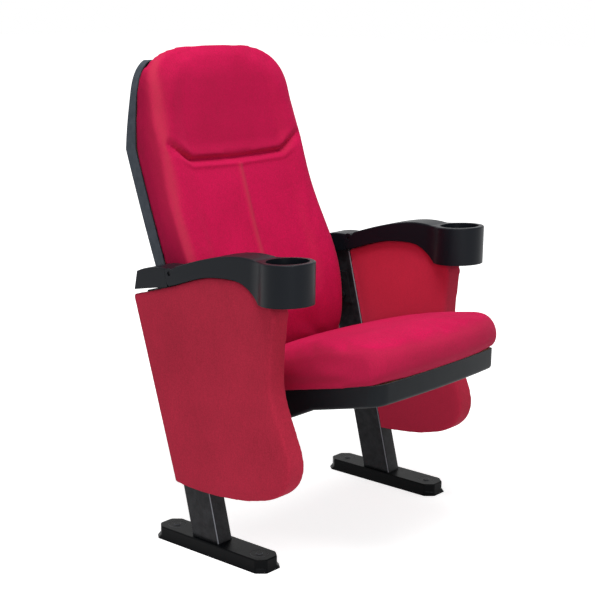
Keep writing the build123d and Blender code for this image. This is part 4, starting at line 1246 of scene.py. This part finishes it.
@dataclass
class Columns:
    """The leg columns, with a painted highlight along the tube's rounded corners."""

    wardrobe: Wardrobe
    corner: float = 0.0205
    spread: float = 0.0007

    def build(self) -> None:
        """Make a copy of each column that keeps where the painted highlight runs along its corners."""
        for side in ("left", "right"):
            node = f"{side}_leg_column"
            piece = piece_from(f"{node}_rubbed", cad_copy(node))
            smooth(piece)
            across = points_of(piece.data)[:, 0]
            across = np.abs(across - 0.5 * (across.min() + across.max()))
            # Painted highlight along the tube's rounded corners.
            store(piece.data, "edge_light", hump(across, self.corner, self.spread))
            self.wardrobe.dress(piece, Finish.COLUMN_COAT)
            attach(piece, Body.FRAME.value)
            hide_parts(node)
            report(piece)


@dataclass
class Mouldings:
    """The rigid CAD nodes and their finishes: those that come left and right, and those that come once."""

    wardrobe: Wardrobe
    pairs: tuple[tuple[Finish, tuple[str, ...]], ...] = (
        (Finish.COATED_STEEL, ("foot_plate", "column_cap", "pivot_plate", "panel_backing",
                               "back_bracket", "stop_plate", "arm_pin")),
        (Finish.PLATED_STEEL, ("pivot_pin", "stop_pin", "return_spring")),
        (Finish.RUBBER, ("stop_sleeve",)),
    )
    single: tuple[tuple[Finish, tuple[str, ...]], ...] = (
        (Finish.GREY_MOULDING, ("back_shell",)),
        (Finish.COATED_STEEL, ("cross_tube", "seat_rails", "pivot_plate_bolts", "back_bracket_bolts")),
        (Finish.PLATED_STEEL, ("panel_backing_screws",)),
        (Finish.PLY, ("seat_board", "back_board")),
        (Finish.NYLON, ("hinge_bushes",)),
    )

    def build(self) -> None:
        """Dress each listed rigid node."""
        for finish, names in self.pairs:
            self.wardrobe.dress_nodes([f"{side}_{name}" for name in names for side in ("left", "right")], finish)
        for finish, names in self.single:
            self.wardrobe.dress_nodes(names, finish)


# Studio.


@dataclass
class Studio:
    """Pale floor, white surroundings, soft lamps and the camera."""

    place: Point = (-2.2745, -1.868, 1.1488)
    azimuth: float = -50.02
    elevation: float = 12.35
    roll: float = 0.83
    lens: float = 82.42
    floor_glow: float = 0.7
    glow_run: Run = (0.5, 2.4)
    ambient: float = 0.38
    lamps: tuple[tuple[str, Point, Point, float, float], ...] = (
        ("top", (-0.6, -0.5, 3.1), (0.0, -0.05, 0.5), 1.6, 62.0),
        ("key", (-1.9, -2.7, 1.3), (0.0, 0.0, 0.5), 0.45, 15.0),
    )

    def build(self) -> None:
        """Set the whole studio up."""
        self._floor()
        self._world()
        for lamp in self.lamps:
            self._lamp(*lamp)
        self._camera()
        bpy.context.scene.view_settings.view_transform = "Standard"

    def _floor(self) -> None:
        """Lay a pale floor that shows white to the camera but keeps the seat's shadow."""
        shape = bmesh.new()
        bmesh.ops.create_grid(shape, x_segments=1, y_segments=1, size=30.0)
        floor = piece_from("studio_floor", shape)
        material = bpy.data.materials.new("studio_floor")
        material.use_nodes = True
        g = Graph(material.node_tree)
        out = g.add("OutputMaterial")
        pale = g.add("BsdfDiffuse")
        g.fill(pale, Color=(0.85, 0.85, 0.85, 1.0))
        glow = g.add("Emission")
        seen = self._seen(g)
        away = g.vector("LENGTH", g.add("TexCoord").outputs["Object"]).outputs["Value"]
        g.fill(glow, Color=(1.0, 1.0, 1.0, 1.0),
               Strength=g.math("MULTIPLY", seen, g.remap(away, *self.glow_run, self.floor_glow, 1.0)))
        both = g.add("AddShader")
        g.feed(both.inputs[0], pale.outputs[0])
        g.feed(both.inputs[1], glow.outputs[0])
        g.feed(out.inputs["Surface"], both.outputs[0])
        floor.data.materials.append(material)

    def _world(self) -> None:
        """Surround the seat with white that lights it softly."""
        world = bpy.data.worlds.new("studio")
        bpy.context.scene.world = world
        world.use_nodes = True
        g = Graph(world.node_tree)
        out = g.add("OutputWorld")
        sky = g.add("Background")
        seen = self._seen(g)
        g.fill(sky, Color=(1.0, 1.0, 1.0, 1.0), Strength=g.remap(seen, 0.0, 1.0, self.ambient, 1.0))
        g.feed(out.inputs["Surface"], sky.outputs[0])

    def _seen(self, g: Graph) -> NodeSocket:
        """Tell the rays that the camera sees directly, in a mirror or through glass.

        Args:
            g: Graph to work in.

        Returns:
            1 for those rays, 0 for others.
        """
        path = g.add("LightPath")
        direct = g.math("MAXIMUM", path.outputs["Is Camera Ray"], path.outputs["Is Glossy Ray"])
        return g.math("MAXIMUM", direct, path.outputs["Is Transmission Ray"])

    def _lamp(self, name: str, place: Point, aim: Point, size: float, power: float) -> None:
        """Hang a square soft lamp.

        Args:
            name: Name of the lamp.
            place: Where it hangs.
            aim: Point it faces.
            size: Length of its side.
            power: Power in watts.
        """
        data = bpy.data.lights.new(name, "AREA")
        data.shape = "SQUARE"
        data.size = size
        data.energy = power
        lamp = bpy.data.objects.new(name, data)
        bpy.context.scene.collection.objects.link(lamp)
        lamp.location = place
        lamp.rotation_euler = (Vector(aim) - Vector(place)).to_track_quat("-Z", "Y").to_euler()

    def _camera(self) -> None:
        """Stand the camera where the photograph was taken from."""
        az, el, roll = (math.radians(angle) for angle in (self.azimuth, self.elevation, self.roll))
        ahead = Vector((-math.sin(az) * math.cos(el), math.cos(az) * math.cos(el), -math.sin(el)))
        right = ahead.cross(Vector((0.0, 0.0, 1.0))).normalized()
        up = right.cross(ahead)
        right, up = right * math.cos(roll) + up * math.sin(roll), up * math.cos(roll) - right * math.sin(roll)
        data = bpy.data.cameras.new("camera")
        data.sensor_fit = "HORIZONTAL"
        data.sensor_width = 36.0
        data.lens = self.lens
        data.clip_end = 100.0
        camera = bpy.data.objects.new("camera", data)
        bpy.context.scene.collection.objects.link(camera)
        turn = Matrix((right, up, -ahead)).transposed().to_4x4()
        camera.matrix_world = Matrix.Translation(Vector(self.place)) @ turn
        bpy.context.scene.camera = camera


def main() -> None:
    """Build the studio and dress the seat, one sub-assembly after another."""
    logging.basicConfig(level=logging.INFO, format="%(message)s")
    wardrobe = Wardrobe()
    Studio().build()
    for assembly in (Mouldings, SoftEdges, Columns, SeatCushion, BackCushion, SidePanels):
        assembly(wardrobe).build()


if __name__ == "__main__":
    main()
